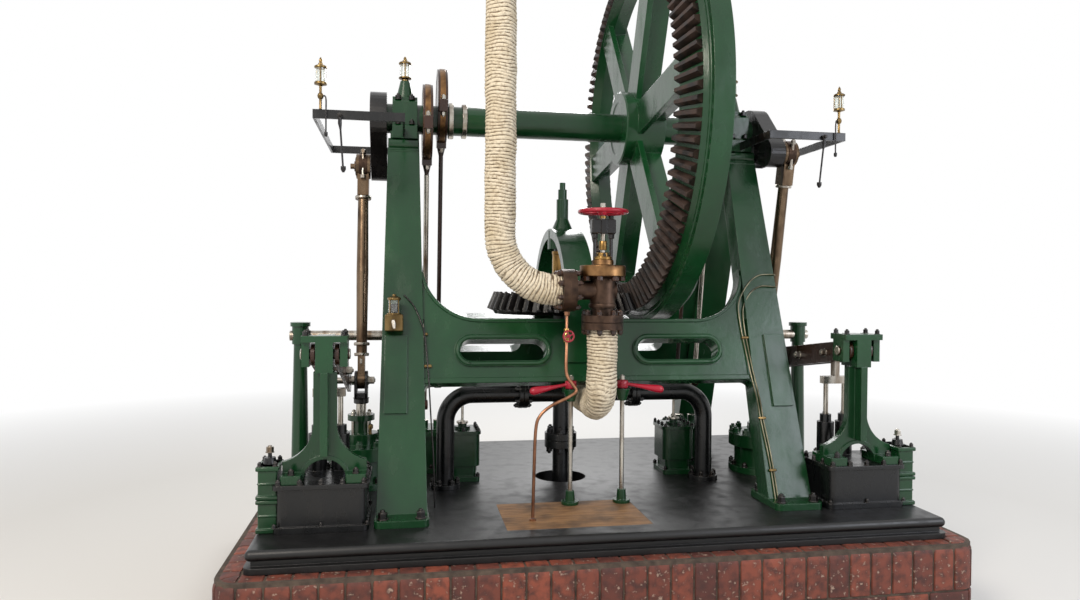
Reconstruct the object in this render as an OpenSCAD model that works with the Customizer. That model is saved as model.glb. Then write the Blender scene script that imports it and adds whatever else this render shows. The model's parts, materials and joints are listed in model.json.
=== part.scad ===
// Half-beam pumping engine: two upright cylinders work overhead cranks on one shaft,
// a large cogged bevel wheel turns an upright pump shaft, and two swinging half-beams
// on the front pedestals guide the crossheads and work the small pumps.
// X runs from side to side, the front faces -Y, Z = 0 is the ground under the plinth.

/* [Plinth and bedplate] */
// Length of the brick plinth
plinth_l = 3560; // [3500:10:3800]
// Width of the brick plinth, front to back
plinth_w = 2420; // [2400:10:2700]
// Height of the brick plinth
plinth_h = 450; // [430:10:600]
// Radius of the plinth's rounded corners
plinth_corner_r = 110; // [60:5:160]
// Length of the bedplate
bed_l = 3320; // [3300:10:3400]
// Width of the bedplate
bed_w = 2260; // [2200:10:2340]
// Thickness of the bedplate
bed_h = 100; // [80:5:120]
// Thickness of the flange round the foot of the bedplate
bed_flange_h = 28; // [20:1:40]
// Radius of the half-round moulding on the bedplate's edge
moulding_r = 24; // [15:1:30]
// Diameter of the hole for the pump shaft through bedplate and plinth
well_d = 300; // [240:5:340]
// Length of the timber floor in the front of the bedplate
boards_l = 700; // [500:10:800]
// Width of one floor board
board_w = 108; // [90:1:120]
// Thickness of the floor boards
board_h = 30; // [20:1:40]

/* [A-frames] */
// Distance of the A-frames from the middle of the engine
frame_x = 998; // [975:1:1040]
// Distance of the A-frame feet from the middle plane, front and back
foot_y = 730; // [700:5:780]
// Height of the crankshaft above the bedplate
shaft_z = 2080; // [2040:5:2150]
// Width of a leg at its foot
leg_foot_w = 245; // [220:5:260]
// Width of a leg at its head
leg_head_w = 165; // [150:5:170]
// Thickness of the legs
leg_t = 120; // [100:5:130]
// Height of the flat head of the A-frames above the bedplate
head_z = 1950; // [1930:5:1980]
// Height of the underside of the crossbeam above the bedplate
beam_low_z = 615; // [580:5:640]
// Height of the top of the crossbeam above the bedplate
beam_top_z = 940; // [920:5:955]
// Thickness of the crossbeam
beam_t = 84; // [70:2:90]
// Radius of the large fillets between the crossbeam and the legs
fillet_r = 300; // [200:10:320]
// Radius of the small fillets under the crossbeam
fillet_low_r = 40; // [20:5:60]
// Height of the slots in the crossbeam
slot_h = 116; // [90:2:130]
// Distance of the inner end of a slot from the middle
slot_in_x = 250; // [200:5:300]
// Distance of the outer end of a slot from the middle
slot_out_x = 705; // [660:5:740]
// Width of the raised rim round a slot
rim_w = 28; // [20:1:36]
// How far the raised rims and pads stand out
rim_t = 14; // [8:1:20]
// Width of the raised pad on a leg
pad_w = 112; // [90:2:120]
// Thickness of the foot flange of a leg
foot_h = 34; // [25:1:45]

/* [Crankshaft and bearings] */
// Diameter of the crankshaft
shaft_d = 165; // [140:5:170]
// Length of a main bearing along the shaft
bearing_l = 138; // [120:2:140]
// Width of a main bearing's foot, front to back
bearing_w = 250; // [230:5:260]
// Height of the bearing cap above the shaft's axis
cap_h = 112; // [106:2:130]
// Throw of the cranks
throw = 300; // [280:5:310]
// Thickness of a crank
crank_t = 92; // [80:2:96]
// Radius of the crank boss on the shaft
crank_boss_r = 145; // [130:5:165]
// Radius of the crank's pin end
crank_pin_boss_r = 80; // [72:2:110]
// Angle of the left crank, from the front downwards
left_crank_angle = 122; // [115:1:130]
// Angle of the right crank, from the front downwards
right_crank_angle = 32; // [25:1:40]
// Gap between a crank and the rod beside it
crank_gap = 6; // [5:1:8]

/* [Bevel gear] */
// Number of wooden cogs on the wheel
wheel_teeth = 104; // [96:2:108]
// Number of teeth on the pinion
pinion_teeth = 41; // [39:1:43]
// Pitch radius of the wheel at the outer end of its cogs
wheel_pitch_r = 1085; // [1060:5:1088]
// Length of the cogs along the cone
cog_l = 165; // [130:5:180]
// Length of the pinion's teeth along the cone
pinion_face_l = 105; // [90:5:120]
// Outer radius of the wheel's rim
wheel_rim_r = 1158; // [1140:2:1160]
// Distance of the rim's right face from the middle of the engine
rim_right_x = 506; // [498:1:520]
// Number of arms on the wheel
wheel_arms = 6; // [6:1:8]
// Angle of the first arm, from the front downwards
first_arm_angle = -7; // [-30:1:30]
// Width of an arm at the hub
arm_w = 184; // [150:2:190]
// Radius of the wheel's hub
hub_r = 215; // [205:5:230]
// Distance of the pump shaft from the middle of the engine, to the left
pump_x = 68; // [60:2:80]
// Diameter of the pump shaft
pump_shaft_d = 94; // [80:2:100]

/* [Cylinders and motion work] */
// Outer diameter of a cylinder
cylinder_d = 360; // [320:5:370]
// Height of a cylinder's gland above its cover
gland_h = 164; // [150:2:180]
// Diameter of the piston rod
piston_rod_d = 56; // [50:1:60]
// Length of a connecting rod between centres
rod_l = 1250; // [1230:5:1260]
// Diameter of the connecting rod's shank
shank_d = 60; // [54:1:64]
// Width of a connecting rod's big end along the crank pin
big_end_w = 80; // [70:1:82]
// Width of a connecting rod's small end
small_end_w = 40; // [36:1:44]
// Diameter of the crosshead pin
crosshead_pin_d = 52; // [44:1:56]

/* [Half-beams, pedestals and pumps] */
// Distance of the beam pivots from the cylinder axes, to the front
beam_l = 800; // [780:5:820]
// Drop of the beam pivots below the middle of the crossheads' travel
pivot_drop = 25; // [10:1:40]
// Distance of the pedestals from the middle of the engine
pedestal_x = 1352; // [1345:1:1366]
// Thickness of a beam's side plates
beam_plate_t = 18; // [14:1:20]
// Depth of a beam's side plates
beam_depth = 104; // [96:2:106]
// Distance between the middles of a beam's two side plates
plate_pitch = 108; // [104:1:110]
// Diameter of the beam's pivot pin
pivot_d = 50; // [40:1:54]
// Distance of the pump rods from the beam pivot
pump_reach = 200; // [180:5:220]
// Diameter of a pump rod
pump_rod_d = 26; // [22:1:30]
// Height of the pump boxes
pump_box_h = 220; // [200:5:240]
// Width of the web of a pedestal's column
pedestal_web_w = 106; // [96:2:112]
// Radius of the arch between a pedestal's feet
arch_r = 98; // [90:2:110]

/* [Eccentrics and valve gear] */
// Distance of the outer eccentrics from the middle
ecc_out_x = 868; // [864:1:872]
// Distance of the inner eccentrics from the middle
ecc_in_x = 783; // [775:1:788]
// Throw of the eccentrics
ecc_throw = 88; // [80:1:90]
// Radius of an eccentric sheave
sheave_r = 185; // [183:1:190]
// Outer radius of an eccentric strap
strap_r = 210; // [206:1:216]
// Thickness of an eccentric strap
strap_t = 54; // [40:1:56]
// Diameter of the eccentric rods
ecc_rod_d = 26; // [22:1:32]
// Distance of the foot of the eccentric rods from the middle plane
ecc_foot_y = 300; // [280:5:310]
// Height of the foot of the eccentric rods above the bedplate
ecc_foot_z = 440; // [420:5:460]
// Height of the rear valve chests
chest_h = 260; // [230:5:280]

/* [Steam pipes and stop valve] */
// Distance of the stop valve from the middle, to the left
valve_x = 12; // [0:2:30]
// Distance of the stop valve in front of the middle plane
valve_y = 750; // [730:5:780]
// Height of the stop valve's side branch above the bedplate
valve_z = 1110; // [1090:5:1130]
// Outer diameter of the lagging on the steam pipes
lagging_d = 158; // [140:2:170]
// Distance of the steam riser from the middle, to the left
riser_x = 532; // [522:2:560]
// Radius of the riser's bend
riser_bend_r = 280; // [240:10:290]
// Height of the riser's flange above the bedplate
riser_top_z = 2700; // [2650:10:2750]
// Diameter of the pipe that crosses under the crossbeam
cross_pipe_d = 100; // [80:2:110]
// Diameter of the stop valve's handwheel
handwheel_d = 255; // [230:5:280]

/* [Hidden] */

$fn = 48;
// Radial room of a journal in its bearing
run_gap = 0.1;
// Room between two pieces that are fitted together without touching
seat_gap = 0.3;
// Room between an eccentric's sheave and its strap
strap_gap = 0.5;
// Clear distance between pieces that pass each other
pass_gap = 6;
// Overlap that joins the parts of one casting
weld = 1;
// How far a cut runs past the face that it starts from
over = 5;
// Larger than any piece, for cutting away one side of a shape
big = 6000;

bed_top = plinth_h + bed_h;
lean = atan(foot_y / shaft_z);
// Length along a leg for a height above the bedplate
function along_leg(z) = z / cos(lean);
// Distance of the middle of a leg from the middle plane at a height
function leg_y(z) = foot_y * (1 - z / shaft_z);
// Width of a leg at a height above the bedplate
function leg_w(z) = leg_foot_w + (leg_head_w - leg_foot_w) * z / head_z;

bearing_x = frame_x - 6;
// The cranks pass just outside the legs of the A-frames
crank_in_x = frame_x + leg_w(shaft_z - throw - crank_pin_boss_r) / 2 + pass_gap;
crank_out_x = crank_in_x + crank_t;
rod_x = crank_out_x + crank_gap + big_end_w / 2;
cylinder_x = rod_x;

// Place of a crank pin, seen from the right
function pin_y(a) = -throw * cos(a);
function pin_z(a) = shaft_z - throw * sin(a);
function crosshead_z(a) = pin_z(a) - sqrt(pow(rod_l, 2) - pow(pin_y(a), 2));
function rod_tilt(a) = asin(-pin_y(a) / rod_l);
crosshead_low = shaft_z - throw - rod_l;
crosshead_high = shaft_z + throw - rod_l;
// The glands stand just below the lowest place of the crossheads
crosshead_drop = 130;
gland_z = crosshead_low - crosshead_drop - pass_gap;
cover_z = gland_z - gland_h;
pivot_z = (crosshead_low + crosshead_high) / 2 - pivot_drop;

// The bevel cones meet where the pump shaft's axis crosses the crankshaft's
pinion_pitch_r = wheel_pitch_r * pinion_teeth / wheel_teeth;
wheel_cone = atan(wheel_teeth / pinion_teeth);
pinion_cone = 90 - wheel_cone;
cone_l = wheel_pitch_r / sin(wheel_cone);
module_mm = 2 * wheel_pitch_r / wheel_teeth;
addendum = 0.8 * module_mm;
dedendum = 1.0 * module_mm;
pressure_angle = 20;
cog_share = 0.50;
pinion_tooth_share = 0.41;

// Joins pieces that are the same on both sides
module both_sides() {
    children();
    mirror([1, 0, 0]) children();
}

// A flat plate with rounded corners
module rounded_plate(l, w, h, r) {
    linear_extrude(h) rounded_rect(l, w, r);
}

module rounded_rect(l, w, r) {
    union() {
        square([l - 2 * r, w], center = true);
        square([l, w - 2 * r], center = true);
        for (x = [-1, 1], y = [-1, 1])
            translate([x * (l / 2 - r), y * (w / 2 - r)]) circle(r);
    }
}

// A round bar between two points
module bar(a, b, d) {
    v = b - a;
    l = norm(v);
    translate(a)
        rotate([0, acos(v[2] / l), atan2(v[1], v[0])])
            cylinder(d = d, h = l);
}

// A rod along X, centred
module x_pin(d, l) {
    rotate([0, 90, 0]) cylinder(d = d, h = l, center = true);
}

// A ring of bolt heads or holes round Z
module bolt_circle(pcd, count, d, h, first = 0) {
    for (i = [0 : count - 1])
        rotate(first + i * 360 / count)
            translate([pcd / 2, 0, 0]) cylinder(d = d, h = h, $fn = 16);
}

/* plinth and bedplate */

cylinder_foot = 60;
pit_d = cylinder_d + 60;
boards_x = -168;
boards_y = -bed_w / 2 + 130;
board_count = 4;
board_gap = 3;
boards_w = board_count * board_w + (board_count - 1) * board_gap;

module well_hole(h) {
    translate([-pump_x, 0, -over]) cylinder(d = well_d, h = h + 2 * over);
}

module plinth() {
    color("firebrick")
    difference() {
        rounded_plate(plinth_l, plinth_w, plinth_h, plinth_corner_r);
        well_hole(plinth_h);
        for (s = [-1, 1])
            translate([s * cylinder_x, 0, cylinder_foot]) cylinder(d = pit_d, h = plinth_h);
    }
}

module bed_edge(l, w) {
    for (s = [-1, 1]) {
        translate([0, s * w / 2, 0]) x_pin(2 * moulding_r, l);
        translate([s * l / 2, 0, 0]) rotate(90) x_pin(2 * moulding_r, w);
        for (t = [-1, 1]) translate([s * l / 2, t * w / 2, 0]) sphere(moulding_r);
    }
}

module bedplate() {
    inset = moulding_r + 6;
    color([0.08, 0.08, 0.09])
    translate([0, 0, plinth_h])
    difference() {
        union() {
            rounded_plate(bed_l, bed_w, bed_flange_h, 40);
            translate([-bed_l / 2 + inset, -bed_w / 2 + inset, 0])
                cube([bed_l - 2 * inset, bed_w - 2 * inset, bed_h]);
            translate([0, 0, bed_h - moulding_r])
                bed_edge(bed_l - 2 * inset, bed_w - 2 * inset);
        }
        well_hole(bed_h);
        for (s = [-1, 1])
            translate([s * cylinder_x, 0, -over])
                cylinder(d = cylinder_d + 2 * seat_gap, h = bed_h + 2 * over);
        translate([boards_x - boards_l / 2 - seat_gap, boards_y - seat_gap, bed_h - board_h])
            cube([boards_l + 2 * seat_gap, boards_w + 2 * seat_gap, board_h + over]);
    }
}

module floor_boards() {
    color("saddlebrown")
    for (i = [0 : board_count - 1])
        translate([boards_x - boards_l / 2, boards_y + i * (board_w + board_gap), bed_top - board_h])
            cube([boards_l, board_w, board_h]);
}

/* A-frames */

// Outline of both legs of a portal, longer than they are so that they can be cut level
module leg_outlines() {
    head = along_leg(head_z) + leg_t;
    for (s = [-1, 1]) scale([s, 1])
        polygon([
            [frame_x - leg_foot_w / 2, -leg_t], [frame_x + leg_foot_w / 2, -leg_t],
            [frame_x + leg_head_w / 2, head], [frame_x - leg_head_w / 2, head]
        ]);
}

// Outline of one portal in the plane of its legs
module portal_outline() {
    low = along_leg(beam_low_z);
    top = along_leg(beam_top_z);
    in_low = frame_x - leg_w(beam_low_z) / 2;
    in_top = frame_x - leg_w(beam_top_z) / 2;
    leg_outlines();
    difference() {
        translate([-in_low - weld, low]) square([2 * (in_low + weld), top - low]);
        crossbeam_slots();
    }
    for (s = [-1, 1]) scale([s, 1]) {
        difference() {
            translate([in_top - fillet_r, top - weld]) square(fillet_r + weld);
            translate([in_top - fillet_r, top + fillet_r]) circle(fillet_r, $fn = 96);
        }
        difference() {
            translate([in_low - fillet_low_r, low - fillet_low_r]) square(fillet_low_r + weld);
            translate([in_low - fillet_low_r, low - fillet_low_r]) circle(fillet_low_r);
        }
    }
}

module slot_outline(grow) {
    h = slot_h / 2 + grow;
    for (s = [-1, 1]) scale([s, 1]) {
        translate([slot_in_x + slot_h / 2, 0]) circle(h);
        translate([slot_out_x - slot_h / 2, 0]) circle(h);
        translate([slot_in_x + slot_h / 2, -h]) square([slot_out_x - slot_in_x - slot_h, 2 * h]);
    }
}

module crossbeam_slots() {
    translate([0, along_leg((beam_low_z + beam_top_z) / 2)]) slot_outline(0);
}

module slot_rims() {
    translate([0, along_leg((beam_low_z + beam_top_z) / 2)])
        difference() {
            slot_outline(rim_w);
            slot_outline(0);
        }
}

pad_low_z = 470;
pad_top_z = 850;
// Distance of the middle of a pad from the middle of its leg
pad_shift = 34;

module portal_casting() {
    rotate([90 - lean, 0, 0]) {
        translate([0, 0, -beam_t / 2]) linear_extrude(beam_t) portal_outline();
        translate([0, 0, -leg_t / 2]) linear_extrude(leg_t) leg_outlines();
        translate([0, 0, beam_t / 2 - weld]) linear_extrude(rim_t + weld) slot_rims();
        for (s = [-1, 1])
            translate([s * (frame_x + pad_shift) - pad_w / 2, along_leg(pad_low_z), leg_t / 2 - weld])
                cube([pad_w, along_leg(pad_top_z) - along_leg(pad_low_z), rim_t + weld]);
    }
}

module portal_frame() {
    foot_l = 330;
    foot_w = leg_foot_w + 10;
    intersection() {
        union() {
            translate([0, -foot_y, 0]) portal_casting();
            for (s = [-1, 1])
                translate([s * frame_x, -foot_y, 0]) rounded_plate(foot_w, foot_l, foot_h, 30);
        }
        translate([-big / 2, -big, 0]) cube([big, big, head_z]);
    }
}

module front_frame() {
    color("darkgreen") translate([0, 0, bed_top]) portal_frame();
}

module rear_frame() {
    color("darkgreen") translate([0, 0, bed_top]) mirror([0, 1, 0]) portal_frame();
}

/* bearings, guards and lubricators */

bearing_body_w = 194;
bearing_chamfer = 12;

// End view of a bearing: a broad foot, a body with chamfered shoulders and a narrower cap
module bearing_profile() {
    seat = head_z - shaft_z;
    foot_top = -50;
    shoulder = cap_h - 20;
    w = bearing_w / 2;
    body = bearing_body_w / 2;
    cap = 66;
    c = bearing_chamfer;
    polygon([
        [-w, seat], [w, seat], [w, foot_top - c], [w - c, foot_top], [body, foot_top],
        [body, shoulder - c], [body - c, shoulder], [cap, shoulder], [cap, cap_h],
        [-cap, cap_h], [-cap, shoulder], [c - body, shoulder], [-body, shoulder - c],
        [-body, foot_top], [c - w, foot_top], [-w, foot_top - c]
    ]);
}

// A stack of round steps along Z, each given as [height, lower diameter, upper diameter]
module turned_steps(steps, z = 0, i = 0) {
    if (i < len(steps)) {
        translate([0, 0, z - (i > 0 ? weld : 0)])
            cylinder(d1 = steps[i][1], d2 = steps[i][2], h = steps[i][0] + (i > 0 ? weld : 0));
        turned_steps(steps, z + steps[i][0], i + 1);
    }
}

module main_bearings() {
    foot_flange = 10;
    color("green")
    translate([0, 0, bed_top + shaft_z])
    both_sides()
    translate([bearing_x, 0, 0]) {
        difference() {
            union() {
                rotate([90, 0, 90])
                    translate([0, 0, -bearing_l / 2]) linear_extrude(bearing_l) bearing_profile();
                translate([-bearing_l / 2 - foot_flange, -bearing_w / 2 + foot_flange, head_z - shaft_z])
                    cube([bearing_l + 2 * foot_flange, bearing_w - 2 * foot_flange, 40]);
            }
            x_pin(shaft_d + 2 * run_gap, bearing_l + 4 * foot_flange);
        }
        translate([0, 0, cap_h - weld])
            turned_steps([[cap_collar_h + weld, 108, 108], [cap_cone_h, 96, 54]]);
    }
}

cap_collar_h = 14;
cap_cone_h = 88;
guard_front_y = -510;
guard_rear_y = 510;
guard_out_x = 1440;
guard_h = 45;
guard_t = 12;
guard_z = shaft_z - 122;

module crank_guards() {
    start = bearing_w / 2;
    color([0.1, 0.1, 0.1])
    translate([0, 0, bed_top + guard_z])
    both_sides() {
        x0 = frame_x - guard_t / 2;
        for (y = [guard_front_y, guard_rear_y])
            translate([x0, y - guard_t / 2, 0]) cube([guard_out_x - x0 + guard_t / 2, guard_t, guard_h]);
        translate([guard_out_x - guard_t / 2, guard_front_y, 0])
            cube([guard_t, guard_rear_y - guard_front_y, guard_h]);
        translate([x0, guard_front_y, 0]) cube([guard_t, -start - guard_front_y, guard_h]);
        translate([x0, start, 0]) cube([guard_t, guard_rear_y - start, guard_h]);
    }
}

// Distance of a lubricator from the outer end of its guard
lubricator_inset = 32;

// Drip lubricators with a glass between two collars, on the front bars of the guards and on the bearings
module lubricators() {
    bearing_cup_z = shaft_z + cap_h + cap_collar_h + cap_cone_h;
    color("darkgoldenrod")
    translate([0, 0, bed_top])
    both_sides() {
        translate([guard_out_x - lubricator_inset, guard_front_y, guard_z + guard_h])
            turned_steps([
                [80, 14, 14], [44, 30, 30], [12, 62, 62], [68, 50, 50], [12, 62, 62], [14, 24, 24],
                [34, 14, 6]
            ]);
        translate([bearing_x, 0, bearing_cup_z])
            turned_steps([[12, 40, 40], [12, 72, 72], [72, 60, 60], [12, 72, 72], [12, 34, 34], [24, 16, 8]]);
    }
}

/* cylinders, chests, pumps and columns */

cylinder_low = -(bed_h + plinth_h - cylinder_foot);

module cylinder_solid() {
    flange_reach = 35;
    flange_d = cylinder_d + 2 * flange_reach;
    flange_h = 36;
    box_d = 190;
    box_h = 60;
    neck_d = 110;
    gland_d = 150;
    gland_t = 30;
    translate([0, 0, cylinder_low]) cylinder(d = cylinder_d, h = cover_z - flange_h - cylinder_low);
    cylinder(d = flange_d, h = flange_h);
    translate([0, 0, cover_z - 2 * flange_h]) cylinder(d = flange_d, h = 2 * flange_h);
    translate([0, 0, cover_z - weld])
        turned_steps([
            [box_h, box_d, box_d],
            [gland_h - box_h - gland_t, neck_d, neck_d],
            [gland_t + weld, gland_d, gland_d]
        ]);
}

module cylinders() {
    color("darkgreen")
    translate([0, 0, bed_top])
    both_sides()
    translate([cylinder_x, 0, 0])
    difference() {
        cylinder_solid();
        translate([0, 0, cylinder_low + 40])
            cylinder(d = piston_rod_d + 2 * run_gap, h = gland_z - cylinder_low);
    }
}

ecc_x = (ecc_out_x + ecc_in_x) / 2;
chest_y = ecc_foot_y;

chest_l = 220;
chest_w = 230;
chest_flange_t = 28;
chest_corner_r = 24;

module valve_chests() {
    foot_reach = 50;
    lid_reach = 44;
    lid_drop = 40;
    boss_h = 40;
    color("darkgreen")
    translate([0, 0, bed_top])
    both_sides()
    translate([ecc_x, chest_y, 0]) {
        rounded_plate(chest_l + foot_reach, chest_w + foot_reach, chest_flange_t, chest_corner_r);
        rounded_plate(chest_l, chest_w, chest_h, chest_corner_r);
        translate([0, 0, chest_h - lid_drop])
            rounded_plate(chest_l + lid_reach, chest_w + lid_reach, chest_flange_t, chest_corner_r);
        for (x = [ecc_in_x, ecc_out_x])
            translate([x - ecc_x, 0, chest_h - weld]) cylinder(d = strap_t, h = boss_h);
    }
}

// Steam chests beside the legs of the cross pipe, each on a narrower foot
module inner_chests() {
    inner_l = 190;
    inner_w = 220;
    inner_h = 280;
    inner_y = 40;
    foot_h = 90;
    foot_inset = 40;
    color("darkgreen")
    translate([0, 0, bed_top])
    both_sides()
    translate([cross_leg_x - chest_l / 2, inner_y, 0]) {
        rounded_plate(inner_l, inner_w, chest_flange_t, chest_corner_r);
        rounded_plate(inner_l - foot_inset, inner_w - foot_inset, foot_h, chest_corner_r);
        translate([0, 0, foot_h - weld])
            rounded_plate(inner_l, inner_w, inner_h - foot_h + weld, foot_inset);
    }
}

pump_box_x = pedestal_x + 8;
pump_box_y = -beam_l + 70;
pump_box_l = 400;
pump_box_w = 340;
pump_rod_y = -beam_l + pump_reach;
barrel_d = 90;
// Drop of the pump rods' cross bar below the beam's joint, and its clear height over the glands
pump_yoke_drop = 170;
pump_yoke_room = 126.25;
// Height of the beam's pump joint at the lowest place of the crosshead
pump_joint_low = pivot_z + (crosshead_low - pivot_z) * pump_reach / beam_l;
pump_gland_z = pump_joint_low - pump_yoke_drop - pump_yoke_room;

module pump_rod_bores() {
    bore_low = 20;
    for (s = [-1, 1])
        translate([pedestal_x + s * plate_pitch / 2, pump_rod_y, bore_low])
            cylinder(d = pump_rod_d + 2 * run_gap, h = pump_gland_z);
}

// Valve casting at the outer end of a pump box, with a domed cover and its stud
module pump_valve() {
    box_l = 80;
    box_w = 150;
    box_h = 300;
    translate([pump_box_x + pump_box_l / 2 + box_l / 2 - weld, -beam_l, 0]) {
        rounded_plate(box_l, box_w, box_h, 16);
        translate([0, 0, box_h - weld]) turned_steps([[30 + weld, 62, 50], [36, 18, 18]]);
    }
}

module pump_boxes() {
    foot_h = 30;
    foot_reach = 24;
    lid_t = 21;
    lid_reach = 30;
    corner_r = 30;
    gland_t = 40;
    gland_d = 60;
    color([0.05, 0.12, 0.08])
    translate([0, 0, bed_top])
    both_sides()
    difference() {
        union() {
            translate([pump_box_x, pump_box_y, 0]) {
                rounded_plate(pump_box_l + foot_reach, pump_box_w + foot_reach, foot_h, corner_r);
                rounded_plate(pump_box_l, pump_box_w, pump_box_h - lid_t + weld, corner_r);
                translate([0, 0, pump_box_h - lid_t])
                    rounded_plate(pump_box_l + lid_reach, pump_box_w + lid_reach, lid_t, corner_r);
            }
            pump_valve();
            for (s = [-1, 1])
                translate([pedestal_x + s * plate_pitch / 2, pump_rod_y, pump_box_h - weld])
                    turned_steps([
                        [pump_gland_z - gland_t - pump_box_h, barrel_d, barrel_d],
                        [gland_t + weld, gland_d, gland_d]
                    ]);
        }
        pump_rod_bores();
    }
}

pedestal_half_w = 190;
pedestal_web_t = 40;
// Height at which a pedestal's flared sides become its upright web
flare_top_z = 480;

// Arch on two feet that flares up into a pedestal's column
module pedestal_outline() {
    low = pump_box_h;
    web = pedestal_web_w / 2;
    flare_r = 175;
    difference() {
        union() {
            difference() {
                translate([-pedestal_half_w, low]) square([2 * pedestal_half_w, flare_top_z - low]);
                for (s = [-1, 1]) translate([s * (web + flare_r), flare_top_z]) circle(flare_r, $fn = 96);
            }
            translate([-web, flare_top_z - 40]) square([2 * web, pedestal_cap_low - flare_top_z + 40]);
        }
        translate([0, low]) circle(arch_r, $fn = 64);
    }
}

// Raised bead round a pedestal's arch
module arch_bead() {
    bead_w = 18;
    bead_t = 8;
    rotate([90, 0, 0])
        translate([0, 0, -pedestal_web_t / 2 - bead_t])
            linear_extrude(pedestal_web_t + 2 * bead_t)
                difference() {
                    translate([0, pump_box_h]) circle(arch_r + bead_w, $fn = 64);
                    translate([0, pump_box_h]) circle(arch_r, $fn = 64);
                    translate([-big / 2, pump_box_h - big]) square(big);
                }
}

pivot_block_w = plate_pitch - beam_plate_t - 2 * pass_gap;
// The column ends below the swing of the beam's plates, and the pivot block goes on up between them
pedestal_cap_low = pivot_z - beam_depth / 2 - 30;
pedestal_cap_z = pivot_z + beam_depth / 2 + pass_gap;
pedestal_cap_t = 30;
pedestal_cap_w = 150;
// Outer bearings of the pivot pin: they hang from the cap outside the beam's plates
outer_bearing_in = (plate_pitch + beam_plate_t) / 2 + pass_gap;
outer_bearing_t = 34;
pivot_reach = outer_bearing_in + outer_bearing_t;

module pedestals() {
    cap_low = pedestal_cap_low - weld;
    cap_top = pedestal_cap_z + pedestal_cap_t;
    rib_low = 340;
    rib_w = 160;
    rib_t = 34;
    bearing_drop = 56;
    bearing_block_w = 100;
    // The cap's cross strip ends in front of the place where the tilted plates rise
    strip_w = 62;
    color("green")
    translate([0, 0, bed_top])
    both_sides()
    translate([pedestal_x, -beam_l, 0])
    difference() {
        union() {
            rotate([90, 0, 0])
                translate([0, 0, -pedestal_web_t / 2]) linear_extrude(pedestal_web_t) pedestal_outline();
            arch_bead();
            for (s = [-1, 1]) {
                translate([s * (pedestal_half_w - 46), 0, pump_box_h]) rounded_plate(92, 200, 40, 10);
                translate([s * (outer_bearing_in + outer_bearing_t / 2), 0, 0]) {
                    translate([-outer_bearing_t / 2, -bearing_block_w / 2, pivot_z - bearing_drop])
                        cube([outer_bearing_t, bearing_block_w, cap_top - pivot_z + bearing_drop - weld]);
                    translate([-outer_bearing_t / 2, -pedestal_cap_w / 2, pedestal_cap_z])
                        cube([outer_bearing_t, pedestal_cap_w, pedestal_cap_t]);
                }
            }
            translate([-rib_t / 2, -rib_w / 2, rib_low]) cube([rib_t, rib_w, cap_low - rib_low + weld]);
            translate([-pivot_block_w / 2, -pedestal_cap_w / 2, cap_low])
                cube([pivot_block_w, pedestal_cap_w, cap_top - cap_low]);
            translate([-pivot_reach, -pedestal_cap_w / 2, pedestal_cap_z])
                cube([2 * pivot_reach, strip_w, pedestal_cap_t]);
        }
        translate([0, 0, pivot_z]) x_pin(pivot_d + 2 * run_gap, 2 * (pivot_reach + over));
    }
}

column_x = 1600;
column_y = 280;
column_z = 905;
rocker_d = 60;
rocker_z = column_z - 80;

module rear_columns() {
    head_d = 96;
    head_h = 110;
    cap_d = 116;
    cap_t = 24;
    color("green")
    translate([0, 0, bed_top])
    both_sides()
    translate([column_x, column_y, 0])
    difference() {
        union() {
            rounded_plate(110, 190, 30, 20);
            cylinder(d1 = 104, d2 = 76, h = column_z - head_h - 10, $fn = 48);
            translate([0, 0, column_z - head_h - cap_t + 4]) cylinder(d = head_d, h = head_h);
            translate([0, 0, column_z - cap_t]) cylinder(d = cap_d, h = cap_t);
        }
        translate([0, 0, rocker_z]) x_pin(rocker_d + 2 * seat_gap, 2 * head_d);
    }
}

module rocking_shafts() {
    color("silver")
    translate([0, 0, bed_top + rocker_z])
    both_sides()
    translate([(column_x + rocker_in_x) / 2 + 30, column_y, 0])
        x_pin(rocker_d, column_x - rocker_in_x + 60);
}

rocker_in_x = frame_x + leg_foot_w / 2 - 30;

/* pump shaft bridge */

module pump_bridge() {
    color("green") translate([0, 0, bed_top]) bridge_body();
}

bridge_w = 160;
bridge_t = 56;
bridge_spring_z = 936;
bridge_foot_z = 730;
// The arch stands well clear of the pinion's teeth
bridge_in_y = cone_l * sin(pinion_cone) + addendum + 34;
bridge_out_y = bridge_in_y + bridge_t;
bridge_crown_z = bridge_spring_z + bridge_out_y;
// Distance of a crossbeam's outer face from the middle plane at a height
function beam_face_y(z) = leg_y(z) + beam_t / 2 / cos(lean);
// Height at which a crossbeam's outer face passes under the inner side of the bridge's leg
bridge_seat_z = shaft_z * (1 - (bridge_in_y - seat_gap - beam_t / 2 / cos(lean)) / foot_y);

// The bridge seen from the side: a round arch on two legs that stand on the sloping crossbeams
module bridge_outline() {
    difference() {
        union() {
            translate([0, bridge_spring_z])
                intersection() {
                    circle(bridge_out_y, $fn = 96);
                    translate([-big / 2, 0]) square([big, big]);
                }
            for (s = [-1, 1]) scale([s, 1])
                polygon([
                    [beam_face_y(bridge_foot_z) + seat_gap, bridge_foot_z], [bridge_out_y, bridge_foot_z],
                    [bridge_out_y, bridge_spring_z], [bridge_in_y, bridge_spring_z],
                    [bridge_in_y, bridge_seat_z]
                ]);
        }
        translate([0, bridge_spring_z]) circle(bridge_in_y, $fn = 96);
    }
}

// Height of the top of the pump shaft inside the bridge's boss
pump_top_z = bridge_crown_z - 30;

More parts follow.
